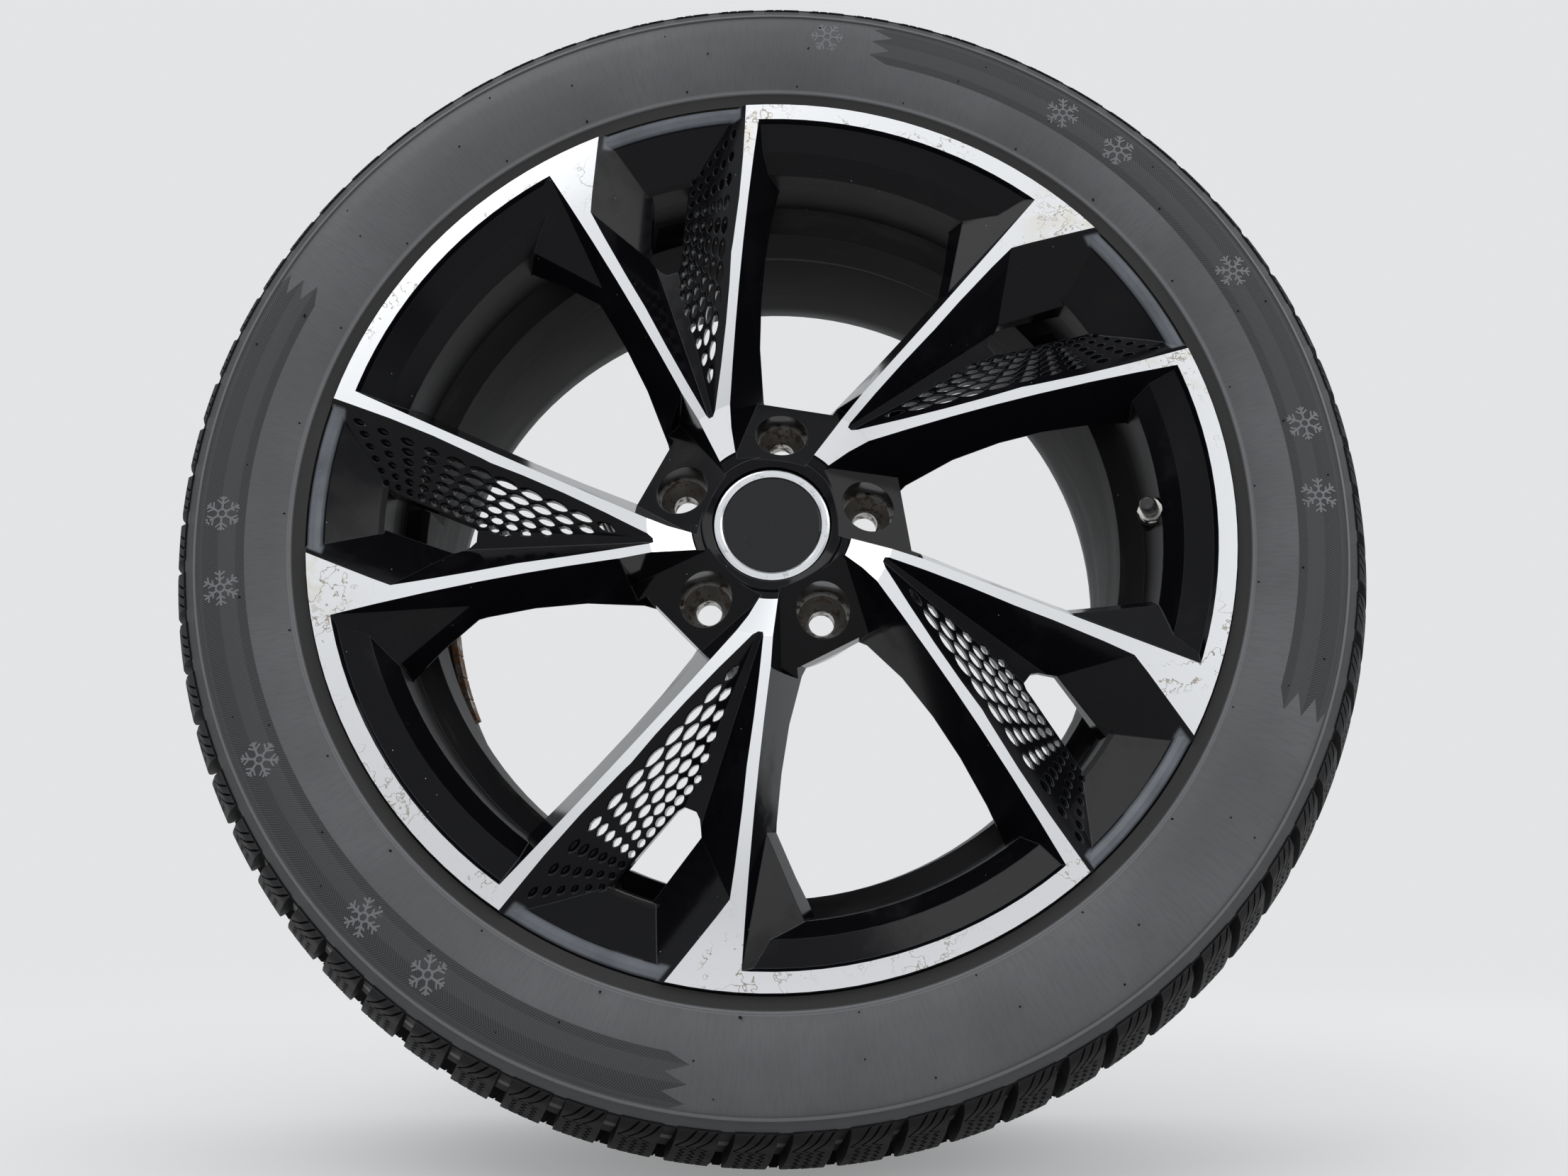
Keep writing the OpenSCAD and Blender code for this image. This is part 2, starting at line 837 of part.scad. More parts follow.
// pressed down by a gauge, the pin moves by the stroke against its coil
module valve_pin() {
  color([0.78, 0.66, 0.36])
    in_valve()
      rotate_extrude($fn = 24)
        polygon([
          [0, pin_z - pin_h],
          [core_d / 2 - 0.5, pin_z - pin_h],
          [core_d / 2 - 0.5, pin_z],
          [pin_d / 2, pin_z],
          [pin_d / 2, coil_high],
          [pin_d / 2 + 0.35, coil_high],
          [pin_d / 2 + 0.35, bridge_z - 0.1],
          [pin_d / 2, bridge_z - 0.1],
          [pin_d / 2, stem_top - 0.3],
          [0, stem_top - 0.3]
        ]);
}
module valve_pin_seal() {
  color([0.05, 0.05, 0.05])
    in_valve()
      translate([0, 0, pin_z])
        rotate_extrude($fn = small_fn)
          polygon([
            [pin_d / 2 + 0.05, 0.03],
            [core_in / 2 + 0.2, 0.03],
            [core_in / 2 + 0.2, 0.52],
            [pin_d / 2 + 0.05, 0.52]
          ]);
}
module valve_spring() {
  r = (core_in / 2 + pin_d / 2) / 2;
  turns = 4;
  step = (coil_high - coil_low - fit) / turns;
  color([0.7, 0.7, 0.7])
    in_valve()
      translate([0, 0, coil_low + fit / 2])
        rotate_extrude($fn = small_fn)
          polygon(concat(
            [for (i = [0 : 2 * turns]) [r + (i % 2 == 0 ? 0.22 : 0.02), i * step / 2]],
            [for (i = [2 * turns : -1 : 0]) [r - (i % 2 == 0 ? 0.02 : 0.22), i * step / 2]]
          ));
}
module valve_cap() {
  r = dust_d / 2 - 0.35;
  bore = thread_d / 2 + 2 * fit;
  top = dust_z + dust_l;
  color([0.03, 0.03, 0.03])
    in_valve() {
      rotate_extrude($fn = 40)
        polygon([
          [bore, dust_z],
          [r, dust_z],
          [r, top - 1.6],
          [r - 0.9, top - 0.3],
          [r - 1.6, top],
          [0, top],
          [0, roof_z],
          [bore, roof_z]
        ]);
      for (k = [0 : rib_n - 1])
        rotate([0, 0, (k + 0.37) * 360 / rib_n])
          translate([r - 0.4, -0.3, dust_z + 0.6])
            cube([0.75, 0.6, dust_l - 2.9]);
    }
}
module valve_cap_seal() {
  color([0.45, 0.1, 0.08])
    in_valve()
      translate([0, 0, roof_z - seal_t + 0.05])
        difference() {
          cylinder(h = seal_t - fit, d = thread_d + 2 * fit, $fn = small_fn);
          translate([0, 0, -1])
            cylinder(h = seal_t + 2, d = air_d - 0.4, $fn = small_fn);
        }
}

// one run of weights or tape on the barrel's back, n weights long about angle a
weight_step = (weight_l + 0.6) / back_r * 180 / PI;
short_z = rim_w / 2 - 83.6 - well_w - weight_w / 2 - 2;
strip_z = -rim_w / 2 + 42;
module on_barrel(n, a, z, r0, r1, w) {
  rotate([0, 0, a - n * weight_step / 2])
    rotate_extrude(angle = n * weight_step - 0.15, $fn = 360)
      polygon([
        [r0, z - w / 2],
        [r1, z - w / 2],
        [r1, z + w / 2],
        [r0, z + w / 2]
      ]);
}
module strip(n, a, z) {
  difference() {
    on_barrel(n, a, z, back_r - tape_t - weight_t - fit, back_r - tape_t - fit, weight_w);
    if (n > 1)
      for (i = [1 : n - 1])
        rotate([0, 0, a + (i - n / 2) * weight_step])
          translate([back_r - tape_t - weight_t - 1.6, -0.5, z - weight_w])
            cube([weight_t + 1, 1, 2 * weight_w]);
  }
}
short_a = strip_a + 6;
module balance_weights() {
  color([0.33, 0.2, 0.14])
    upright() {
      strip(strip_n, strip_a, strip_z);
      strip(1, short_a, short_z);
    }
}
module weight_tape() {
  color([0.1, 0.1, 0.1])
    upright() {
      on_barrel(strip_n, strip_a, strip_z, back_r - tape_t - fit, back_r - fit, weight_w);
      on_barrel(1, short_a, short_z, back_r - tape_t - fit, back_r - fit, weight_w);
    }
}

// every node, drawn one at a time or all together
tyre();
alloy_wheel();
centre_cap();
cap_ring();
cap_spring();
valve_stem();
valve_grommet();
valve_washer();
valve_nut();
valve_core();
valve_core_seal();
valve_pin();
valve_pin_seal();
valve_spring();
valve_cap();
valve_cap_seal();
balance_weights();
weight_tape();
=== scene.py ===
"""Looks of the wheel and tyre assembly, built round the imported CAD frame.

Metres, in the frame of the part: Y along the axle with the turned face toward -Y, Z up.
"""
import math
import random

import bmesh
import bpy
import numpy as np
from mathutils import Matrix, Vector


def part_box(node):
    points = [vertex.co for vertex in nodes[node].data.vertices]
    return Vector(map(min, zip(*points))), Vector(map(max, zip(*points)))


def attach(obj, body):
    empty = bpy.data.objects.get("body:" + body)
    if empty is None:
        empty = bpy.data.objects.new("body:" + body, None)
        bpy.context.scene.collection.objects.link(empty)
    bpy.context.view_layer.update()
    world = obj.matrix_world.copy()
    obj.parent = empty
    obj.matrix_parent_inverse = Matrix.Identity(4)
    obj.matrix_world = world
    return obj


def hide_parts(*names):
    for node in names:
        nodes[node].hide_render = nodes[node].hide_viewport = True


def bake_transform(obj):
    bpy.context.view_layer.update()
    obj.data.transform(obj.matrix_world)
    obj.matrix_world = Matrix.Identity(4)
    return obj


MM = 0.001
rng = random.Random(7)

# the photograph's camera
CAMERA_PLACE = (0.0085, -0.7124, -0.2038)
CAMERA_AIM = (0.0065, 0.0, -0.0164)
CAMERA_LENS = 27.2

# colour of the backdrop
PALE = (0.77, 0.775, 0.785)

# the wheel's turned face: a hollow curve, and a cone round the hub
FACE_R = 0.850
FACE_C = 0.226
HUB_R = 0.0683
HUB_SLOPE = math.tan(math.radians(26.8))
SPOKES = 5
PITCH = math.radians(360 / SPOKES)
TURN = math.radians(18.6)
LUG_ANGLE = math.radians(66)
BOLT_CIRCLE_R = 0.056

# the perforated web, in millimetres: the narrow arm's edge, and the slot's ends as (u, v, depth)
EDGE_C = -35.5
EDGE_A = math.radians(23.3)
SLOT_START = (-4, 162.4, 28)
SLOT_END = (18.9, 213.6, 24.8)

# perforations, in rows parallel to that edge; each row is shorter than the one before, and the
# fixed column keeps its place
HOLE_CORNERS = 14
HOLE_ROWS = 6
HOLE_COLUMNS = 11
OPEN_COLUMNS = 8
OPEN_SINK = 60
BLIND_SINK = 2.4
FIRST_ROW = 6.1
ROW_GAP = 4.45
ROW_SHRINK = 0.102
FIXED_COLUMN = 7
FIXED_ALONG = 184
HOLE_STEP = 14.8
HOLE_SHARES = (0.7, 0.9, 0.93, 0.93, 0.93, 0.87, 0.74, 0.62, 0.54, 0.45, 0.42)
HOLE_WIDTHS = (3.2, 3.6, 3.9, 3.9, 3.9, 3.7, 3.4, 3.2, 3.0, 2.7, 2.5)

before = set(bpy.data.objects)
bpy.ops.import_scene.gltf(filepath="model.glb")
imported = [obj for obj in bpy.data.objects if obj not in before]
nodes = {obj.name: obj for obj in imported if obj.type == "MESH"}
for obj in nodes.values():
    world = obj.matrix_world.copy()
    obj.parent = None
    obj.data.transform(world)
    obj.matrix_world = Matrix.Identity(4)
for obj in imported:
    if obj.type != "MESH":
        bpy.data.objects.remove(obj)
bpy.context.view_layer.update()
wheel_low, wheel_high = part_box("alloy_wheel")
tyre_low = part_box("tyre")[0]
FRONT = -wheel_low.y
LIP_R = wheel_high.x
TYRE_R = -tyre_low.x


class Shade:
    """A material with short calls for the nodes that its colour, roughness and bump need."""

    def __init__(self, name, color, roughness, metallic=0.0, **sockets):
        self.material = bpy.data.materials.new(name)
        self.material.use_nodes = True
        self.material.diffuse_color = (*color, 1)
        self.tree = self.material.node_tree
        self.bsdf = self.tree.nodes["Principled BSDF"]
        self.bsdf.inputs["Base Color"].default_value = (*color, 1)
        self.bsdf.inputs["Roughness"].default_value = roughness
        self.bsdf.inputs["Metallic"].default_value = metallic
        for key, value in sockets.items():
            self.bsdf.inputs[key.replace("_", " ")].default_value = value
        self.place = self.node("ShaderNodeTexCoord").outputs["Object"]

    def node(self, kind, **settings):
        made = self.tree.nodes.new(kind)
        for key, value in settings.items():
            setattr(made, key, value)
        return made

    def feed(self, socket, value):
        if isinstance(value, bpy.types.NodeSocket):
            self.tree.links.new(value, socket)
        else:
            socket.default_value = value

    def math(self, operation, a, b=0.0, c=0.0, clamp=False):
        made = self.node("ShaderNodeMath", operation=operation, use_clamp=clamp)
        for socket, value in zip(made.inputs, (a, b, c)):
            self.feed(socket, value)
        return made.outputs[0]

    def split(self, vector):
        parts = self.node("ShaderNodeSeparateXYZ")
        self.feed(parts.inputs[0], vector)
        return parts.outputs

    def polar(self):
        """Radius from the axle, angle round it, and the place along it."""
        x, y, z = self.split(self.place)
        radius = self.math("SQRT", self.math("MULTIPLY_ADD", x, x, self.math("MULTIPLY", z, z)))
        return radius, self.math("ARCTAN2", z, x), y

    def vector(self, x, y, z):
        made = self.node("ShaderNodeCombineXYZ")
        for socket, value in zip(made.inputs, (x, y, z)):
            self.feed(socket, value)
        return made.outputs[0]

    def noise(self, scale, detail=3.0, roughness=0.55, place=None):
        made = self.node("ShaderNodeTexNoise")
        self.feed(made.inputs["Vector"], place or self.place)
        made.inputs["Scale"].default_value = scale
        made.inputs["Detail"].default_value = detail
        made.inputs["Roughness"].default_value = roughness
        return made.outputs[0]

    def cells(self, scale):
        """Distance from the nearest of many scattered points."""
        made = self.node("ShaderNodeTexVoronoi")
        self.feed(made.inputs["Vector"], self.place)
        made.inputs["Scale"].default_value = scale
        return made.outputs[0]

    def step(self, value, low, high, to_low=0.0, to_high=1.0):
        """A smooth step from to_low to to_high while value goes from low to high."""
        made = self.node("ShaderNodeMapRange", interpolation_type="SMOOTHSTEP")
        for socket, number in zip(made.inputs, (value, low, high, to_low, to_high)):
            self.feed(socket, number)
        return made.outputs[0]

    def past(self, value, limit, soft):
        """1 above the limit, with a soft edge."""
        return self.step(value, limit - soft, limit + soft)

    def between(self, value, low, high, soft):
        """1 between the two limits, with soft edges."""
        over = self.past(value, low, soft)
        under = self.step(value, high - soft, high + soft, 1, 0)
        return self.both(over, under)

    def both(self, a, b):
        return self.math("MULTIPLY", a, b)

    def either(self, a, b):
        return self.math("MAXIMUM", a, b)

    def blend(self, share, a, b):
        made = self.node("ShaderNodeMix", data_type="RGBA")
        self.feed(made.inputs[0], share)
        for socket, value in ((made.inputs[6], a), (made.inputs[7], b)):
            self.feed(socket, value if isinstance(value, bpy.types.NodeSocket) else (*value, 1))
        return made.outputs[2]

    def mix(self, share, a, b):
        made = self.node("ShaderNodeMix")
        for slot, value in ((0, share), (2, a), (3, b)):
            self.feed(made.inputs[slot], value)
        return made.outputs[0]

    def near(self, point, low, high):
        """1 near a point, falling to 0 between the two distances."""
        made = self.node("ShaderNodeVectorMath", operation="DISTANCE")
        self.feed(made.inputs[0], self.place)
        made.inputs[1].default_value = point
        return self.step(made.outputs["Value"], low, high, 1, 0)

    def bump(self, height, distance, strength=1.0, normal=None):
        made = self.node("ShaderNodeBump")
        made.inputs["Strength"].default_value = strength
        made.inputs["Distance"].default_value = distance
        self.feed(made.inputs["Height"], height)
        if normal is not None:
            self.feed(made.inputs["Normal"], normal)
        return made.outputs[0]

    def round_edges(self, radius):
        made = self.node("ShaderNodeBevel", samples=4)
        made.inputs["Radius"].default_value = radius
        return made.outputs[0]

    def edge_sheen(self, radius):
        """The rounded normal, and a mask for a painted highlight: 1 on edges that face up, where they
        catch the light.
        """
        rounded = self.round_edges(radius)
        true = self.node("ShaderNodeNewGeometry").outputs["Normal"]
        turn = self.node("ShaderNodeVectorMath", operation="DOT_PRODUCT")
        self.feed(turn.inputs[0], rounded)
        self.feed(turn.inputs[1], true)
        edge = self.step(turn.outputs["Value"], 0.86, 0.985, 1, 0)
        up = self.split(rounded)[2]
        return rounded, self.both(edge, self.step(up, -0.25, 0.6, 0.12, 1.0))

    def use(self, **sockets):
        for key, value in sockets.items():
            self.feed(self.bsdf.inputs[key.replace("_", " ")], value)
        return self.material


def linked(name, data):
    """A new object in the scene, with a mesh, a lamp or a camera as its data."""
    made = bpy.data.objects.new(name, data)
    bpy.context.scene.collection.objects.link(made)
    return made


def mesh_from(name, points, faces):
    """A mesh from points in millimetres."""
    mesh = bpy.data.meshes.new(name)
    mesh.from_pydata([tuple(np.array(p) * MM) for p in points], [], faces)
    mesh.update()
    return mesh


def tyre_piece(name, points, faces, material, smooth=True):
    """A new piece of the tyre, riding on the wheel."""
    mesh = mesh_from(name, points, faces)
    piece = linked(name, mesh)
    mesh.materials.append(material)
    if smooth:
        mesh.polygons.foreach_set("use_smooth", [True] * len(mesh.polygons))
    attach(piece, "wheel")
    return piece


def add_stack(points, faces, rings, foot):
    """Adds a tube of equal rings with a cap on its end, and one on its foot if that is asked."""
    start = len(points)
    count = len(rings[0])
    last = start + (len(rings) - 1) * count
    for ring in rings:
        points += ring
    for low in range(start, last, count):
        for q in range(count):
            a = low + q
            b = low + (q + 1) % count
            faces.append((a, b, b + count, a + count))
    if foot:
        faces.append(tuple(start + q for q in reversed(range(count))))
    faces.append(tuple(last + q for q in range(count)))


def sector_point(k, u, v, depth):
    """A point of spoke k in the part's frame, in millimetres; v runs out along the spoke."""
    turn = TURN - k * PITCH
    return (
        u * math.cos(turn) - v * math.sin(turn),
        depth - FRONT / MM,
        u * math.sin(turn) + v * math.cos(turn),
    )


def face_depth(r):
    """Depth of the turned face under the lip's plane at radius r, in millimetres."""
    def curve(radius):
        away = (FACE_C - min(radius, FACE_C)) / MM
        return FACE_R / MM - math.sqrt((FACE_R / MM) ** 2 - away ** 2)
    hub = HUB_R / MM
    if r * MM > HUB_R:
        return curve(r * MM)
    return curve(HUB_R) + (hub - r) * HUB_SLOPE


# materials
def spoke_ends():
    """Middles of the silver corners where the lacquer has failed: heavy ones, then light ones."""
    wide = (-30, 240)
    narrow = (62, 238)
    heavy = [(1, wide), (1, narrow), (4, wide), (0, narrow)]
    light = [(0, wide), (2, wide), (4, narrow), (3, wide)]
    return [[sector_point(k, *end, 0) for k, end in group] for group in (heavy, light)]


def turned_normal(s, radius):
    """Normal of the turned face, worked out from the curve that it is turned to."""
    away = s.math("MAXIMUM", s.math("SUBTRACT", FACE_C, radius), 0.0)
    hollow = s.math("DIVIDE", away, -FACE_R)
    slope = s.mix(s.past(radius, HUB_R, 0.0004), -HUB_SLOPE, hollow)
    x, _, z = s.split(s.place)
    lean = s.math("DIVIDE", slope, radius)
    made = s.vector(s.both(x, lean), -1.0, s.both(z, lean))
    unit = s.node("ShaderNodeVectorMath", operation="NORMALIZE")
    s.feed(unit.inputs[0], made)
    spaces = {"convert_from": "OBJECT", "convert_to": "WORLD"}
    turn = s.node("ShaderNodeVectorTransform", vector_type="NORMAL", **spaces)
    s.feed(turn.inputs[0], unit.outputs[0])
    return turn.outputs[0]


def turned_metal():
    s = Shade("turned_metal", (0.86, 0.865, 0.88), 0.3, 1.0, Anisotropic=0.5)
    radius, angle, _ = s.polar()
    fine = s.noise(1.0, 2, 0.6, s.vector(s.both(radius, 2400), 0, s.both(angle, 2)))
    heavy_points, light_points = spoke_ends()
    heavy = 0.0
    for point in heavy_points:
        heavy = s.either(heavy, s.near(np.array(point) * MM, 0.010, 0.042))
    light = 0.0
    for point in light_points:
        light = s.either(light, s.near(np.array(point) * MM, 0.012, 0.05))
    rim = s.step(radius, 0.19, 0.236, 0.0, 0.9)
    patches = s.step(s.noise(19, 2), 0.5, 0.62)
    wander = s.math("ABSOLUTE", s.math("SUBTRACT", s.noise(75, 3.5, 0.62), 0.5))
    line = s.step(wander, 0.004, 0.015, 1, 0)
    spread = s.both(patches, s.math("ADD", rim, s.both(light, 0.8)))
    tracks = s.both(line, s.math("ADD", spread, s.both(heavy, 0.9), clamp=True))
    crumbly = s.both(heavy, s.step(s.noise(30, 2), 0.47, 0.58))
    crumbs = s.both(s.step(s.noise(150, 3, 0.7), 0.58, 0.63), crumbly)
    stain = s.both(heavy, s.step(s.noise(42, 4, 0.6), 0.46, 0.62))
    specks = s.both(s.step(s.cells(190), 0.04, 0.07, 1, 0), s.step(s.noise(45), 0.56, 0.62))
    decay = s.either(s.either(tracks, crumbs), s.both(specks, 0.6))
    clean = s.blend(s.both(fine, 0.3), (0.87, 0.875, 0.89), (0.78, 0.785, 0.80))
    stained = s.blend(s.both(stain, 0.5), clean, (0.72, 0.64, 0.47))
    color = s.blend(s.both(decay, 0.85), stained, (0.26, 0.22, 0.17))
    height = s.math("SUBTRACT", s.both(fine, 0.2), decay)
    tangent = s.node("ShaderNodeTangent", direction_type="RADIAL", axis="Y")
    return s.use(
        Base_Color=color,
        Roughness=s.mix(decay, 0.3, 0.6),
        Metallic=s.mix(s.both(decay, 0.8), 1.0, 0.3),
        Tangent=tangent.outputs[0],
        Normal=s.bump(height, 0.00005, 0.5, turned_normal(s, radius)),
    )


# where the barrel's own surface begins: behind the lip's slope, and farther in behind the spokes
SLOPE_R = 0.2138
SLOPE_Y = 0.0224 - FRONT
WELL_R = 0.1910
WELL_Y = SLOPE_Y + 0.0302


def barrel_share(s, radius, along):
    """1 on the barrel's own surface."""
    ring = s.both(s.past(radius, SLOPE_R, 0.0002), s.past(along, SLOPE_Y, 0.0002))
    deep = s.both(s.past(radius, WELL_R, 0.0005), s.past(along, WELL_Y, 0.0002))
    return s.either(ring, deep)


def barrel_dirt(s):
    """The drift of dirt round the barrel, and its share, largest at the lower left."""
    radius, angle, along = s.polar()
    drift = s.noise(1.0, 4, 0.6, s.vector(s.both(radius, 60), s.both(along, 70), s.both(angle, 3)))
    low_left = s.near((-0.17, 0.0, -0.17), 0.04, 0.2)
    return drift, s.both(s.step(drift, 0.5, 0.75), s.math("MULTIPLY_ADD", low_left, 0.6, 0.2))


LACQUER = (0.003, 0.003, 0.004)
LACQUER_FILM = (0.014, 0.014, 0.014)
ROAD_DIRT = (0.06, 0.055, 0.048)


def gloss_black():
    s = Shade("gloss_black", LACQUER, 0.12, IOR=1.23)
    radius, _, along = s.polar()
    satin = barrel_share(s, radius, along)
    rounded, edge = s.edge_sheen(0.0008)
    specks = s.both(s.step(s.cells(120), 0.022, 0.035, 1, 0), s.step(s.noise(30), 0.5, 0.56))
    film = s.step(s.noise(26, 5, 0.65), 0.5, 0.72)
    drift, dirt = barrel_dirt(s)
    lacquer = s.blend(s.both(film, 0.2), LACQUER, LACQUER_FILM)
    painted = s.blend(dirt, LACQUER, ROAD_DIRT)
    # painted reflection: the rounded bead near the lip's outer edge is tinted light bluish grey, as it
    # mirrors the sky
    on_bead = s.between(along, 0.0023 - FRONT, 0.0062 - FRONT, 0.0008)
    bead = s.both(s.between(radius, 0.2402, 0.2476, 0.0012), on_bead)
    # painted highlight and painted reflection: up-facing edges and the bead are lightened towards bluish
    # grey
    painted_highlight = s.either(s.both(edge, 0.55), s.both(bead, s.math("MULTIPLY_ADD", s.noise(55, 3), 0.5, 0.35)))
    color = s.blend(painted_highlight, s.blend(satin, lacquer, painted), (0.20, 0.215, 0.24))
    shine = s.math("MULTIPLY_ADD", film, 0.16, 0.1)
    return s.use(
        Base_Color=s.blend(specks, color, (0.45, 0.45, 0.43)),
        Roughness=s.mix(satin, shine, s.math("MULTIPLY_ADD", drift, 0.25, 0.26)),
        Normal=s.bump(s.noise(420, 2), 0.00002, 0.3, rounded),
    )


def barrel_black():
    s = Shade("barrel_black", LACQUER, 0.4, IOR=1.1)
    drift, dirt = barrel_dirt(s)
    return s.use(
        Base_Color=s.blend(dirt, LACQUER, ROAD_DIRT),
        Roughness=s.math("MULTIPLY_ADD", drift, 0.25, 0.26),
        Normal=s.bump(s.noise(380, 3), 0.00005, 0.4, s.round_edges(0.0012)),
    )


def worn_seat():
    s = Shade("worn_seat", (0.36, 0.35, 0.33), 0.4, 0.9)
    rust = s.step(s.noise(220, 4, 0.65), 0.48, 0.62)
    return s.use(
        Base_Color=s.blend(rust, (0.36, 0.35, 0.33), (0.10, 0.065, 0.04)),
        Roughness=s.mix(rust, 0.34, 0.75),
        Metallic=s.mix(rust, 0.9, 0.1),
        Normal=s.bump(rust, 0.0001, 0.5),
    )


# the darker hatched bands of the sidewall: their sectors in degrees, radii and line widths
HATCH_SECTORS = ((-24, 79), (153, 263))
HATCH_R = 0.289
HATCH_LOW = 0.2765
HATCH_HIGH = 0.3008
HATCH_PITCH = 0.00135
HATCH_STRIPE = 0.0087


def sidewall_rubber():
    s = Shade("sidewall_rubber", (0.09, 0.091, 0.095), 0.5, Specular_IOR_Level=0.28)
    radius, angle, along = s.polar()
    front = s.step(along, -0.06, -0.05, 1, 0)
    sectors = 0.0
    for low, high in HATCH_SECTORS:
        middle = math.radians((low + high) / 2)
        away = s.math("ABSOLUTE", s.math("SUBTRACT", angle, middle))
        turned = s.math("MINIMUM", away, s.math("SUBTRACT", 2 * math.pi, away))
        half = math.radians((high - low) / 2)
        teeth = s.math("PINGPONG", s.math("SUBTRACT", radius, HATCH_LOW), HATCH_STRIPE * 0.5)
        reach = s.math("MULTIPLY_ADD", teeth, 9.0, half - 0.05)
        sectors = s.either(sectors, s.step(s.math("SUBTRACT", turned, reach), -0.0006, 0.0006, 1, 0))
    band = s.both(s.both(s.between(radius, HATCH_LOW, HATCH_HIGH, 0.0002), sectors), front)
    sweep = s.math("PINGPONG", s.math("SUBTRACT", radius, HATCH_LOW), HATCH_STRIPE)
    turns = s.math("DIVIDE", s.math("MULTIPLY_ADD", angle, HATCH_R, s.both(sweep, 0.7)), HATCH_PITCH)
    hatch = s.math("PINGPONG", turns, 0.5)
    grain = s.noise(1.0, 3, 0.6, s.vector(s.both(radius, 110), s.both(along, 110), s.both(angle, 210)))
    wide = s.noise(9, 3)
    skin = s.blend(s.step(wide, 0.35, 0.7), (0.082, 0.083, 0.087), (0.105, 0.107, 0.112))
    skin = s.blend(s.both(s.step(grain, 0.45, 0.62), 0.22), skin, (0.06, 0.061, 0.064))
    skin = s.blend(s.step(radius, 0.3012, 0.3016), skin, (0.055, 0.056, 0.059))
    # painted light: the sub-bands where the hatch leans one way are painted darker than those where it
    # leans the other, as light falls on them differently
    rows = s.step(sweep, 0.0041, 0.0046)
    hatched = s.blend(rows, (0.026, 0.0265, 0.028), (0.042, 0.043, 0.045))
    hatched = s.blend(s.both(s.step(hatch, 0.2, 0.4), 0.6), hatched, (0.075, 0.077, 0.08))
    # painted highlight: the thin raised rib at the sidewall's inner edge and the ridge farther out are
    # painted light grey, where they catch the light
    line = s.either(s.between(radius, 0.2556, 0.2578, 0.0002), s.between(radius, 0.3016, 0.3034, 0.0002))
    # painted shade: inside this radius, in the hollow between the wheel's lip and the tyre, the rubber is
    # painted near black
    painted_gap_shade = s.both(s.step(radius, 0.2555, 0.256, 1, 0), 0.9)
    color = s.blend(painted_gap_shade, s.blend(band, skin, hatched), (0.012, 0.0114, 0.011))
    color = s.blend(s.both(line, 0.6), color, (0.16, 0.162, 0.168))
    height = s.math("ADD", s.both(band, s.both(hatch, 1.2)), s.both(grain, 0.45))
    return s.use(
        Base_Color=color,
        Roughness=s.mix(band, s.math("MULTIPLY_ADD", wide, 0.16, 0.4), 0.62),
        Normal=s.bump(height, 0.00035, 0.6),
    )


def tread_rubber():
    s = Shade("tread_rubber", (0.006, 0.006, 0.007), 0.62, Specular_IOR_Level=0.1)
    dust = s.step(s.noise(60, 4, 0.65), 0.5, 0.72)
    return s.use(
        Base_Color=s.blend(s.both(dust, 0.4), (0.006, 0.006, 0.007), (0.028, 0.027, 0.025)),
        Roughness=s.math("MULTIPLY_ADD", dust, 0.15, 0.56),
        Normal=s.bump(s.noise(420, 3), 0.00015, 0.5),
    )


def ornament_rubber():
    s = Shade("ornament_rubber", (0.14, 0.143, 0.15), 0.5, Specular_IOR_Level=0.3)
    return s.use(Normal=s.bump(s.noise(500, 2), 0.00008, 0.4))


def cap_black():
    s = Shade("cap_black", (0.007, 0.0075, 0.010), 0.05, IOR=1.4)
    x, _, z = s.split(s.place)
    scratch = s.noise(1.0, 2, 0.5, s.vector(s.both(s.math("ADD", x, z), 900), 0, 0))
    specks = s.step(s.cells(260), 0.03, 0.05, 1, 0)
    return s.use(
        Base_Color=s.blend(s.both(specks, 0.5), (0.007, 0.007, 0.009), (0.2, 0.2, 0.2)),
        Roughness=s.math("MULTIPLY_ADD", scratch, 0.06, 0.03),
    )


def bright_metal(name, color, roughness, wear=0.4):
    s = Shade(name, color, roughness, 1.0)
    radius, angle, _ = s.polar()
    streak = s.noise(1.0, 3, 0.6, s.vector(s.both(angle, 40), s.both(radius, 900), 0))
    marks = s.both(s.step(s.noise(260, 4, 0.7), 0.57, 0.66), wear)
    return s.use(
        Base_Color=s.blend(marks, color, tuple(c * 0.35 for c in color)),
        Roughness=s.math("MULTIPLY_ADD", streak, 0.16, roughness - 0.05),
        Normal=s.bump(s.math("SUBTRACT", s.both(streak, 0.3), marks), 0.00005, 0.5, s.round_edges(0.0002)),
    )


def plain_black(name, color, roughness, grain=500):
    s = Shade(name, color, roughness)
    dust = s.step(s.noise(150, 4, 0.6), 0.5, 0.7)
    return s.use(
        Base_Color=s.blend(s.both(dust, 0.35), color, tuple(c * 2 + 0.03 for c in color)),
        Normal=s.bump(s.noise(grain, 3), 0.00006, 0.4, s.round_edges(0.0003)),
    )


def rusty_steel():
    s = Shade("rusty_steel", (0.3, 0.29, 0.28), 0.55, 0.6)
    rust = s.step(s.noise(120, 5, 0.7), 0.4, 0.56)
    deep = s.step(s.noise(300, 4, 0.7), 0.5, 0.62)
    brown = s.blend(deep, (0.22, 0.10, 0.045), (0.07, 0.035, 0.02))
    return s.use(
        Base_Color=s.blend(rust, (0.26, 0.25, 0.24), brown),
        Roughness=s.mix(rust, 0.45, 0.85),
        Metallic=s.mix(rust, 0.6, 0.05),
        Normal=s.bump(s.math("ADD", rust, s.both(deep, 0.5)), 0.0002, 0.6),
    )


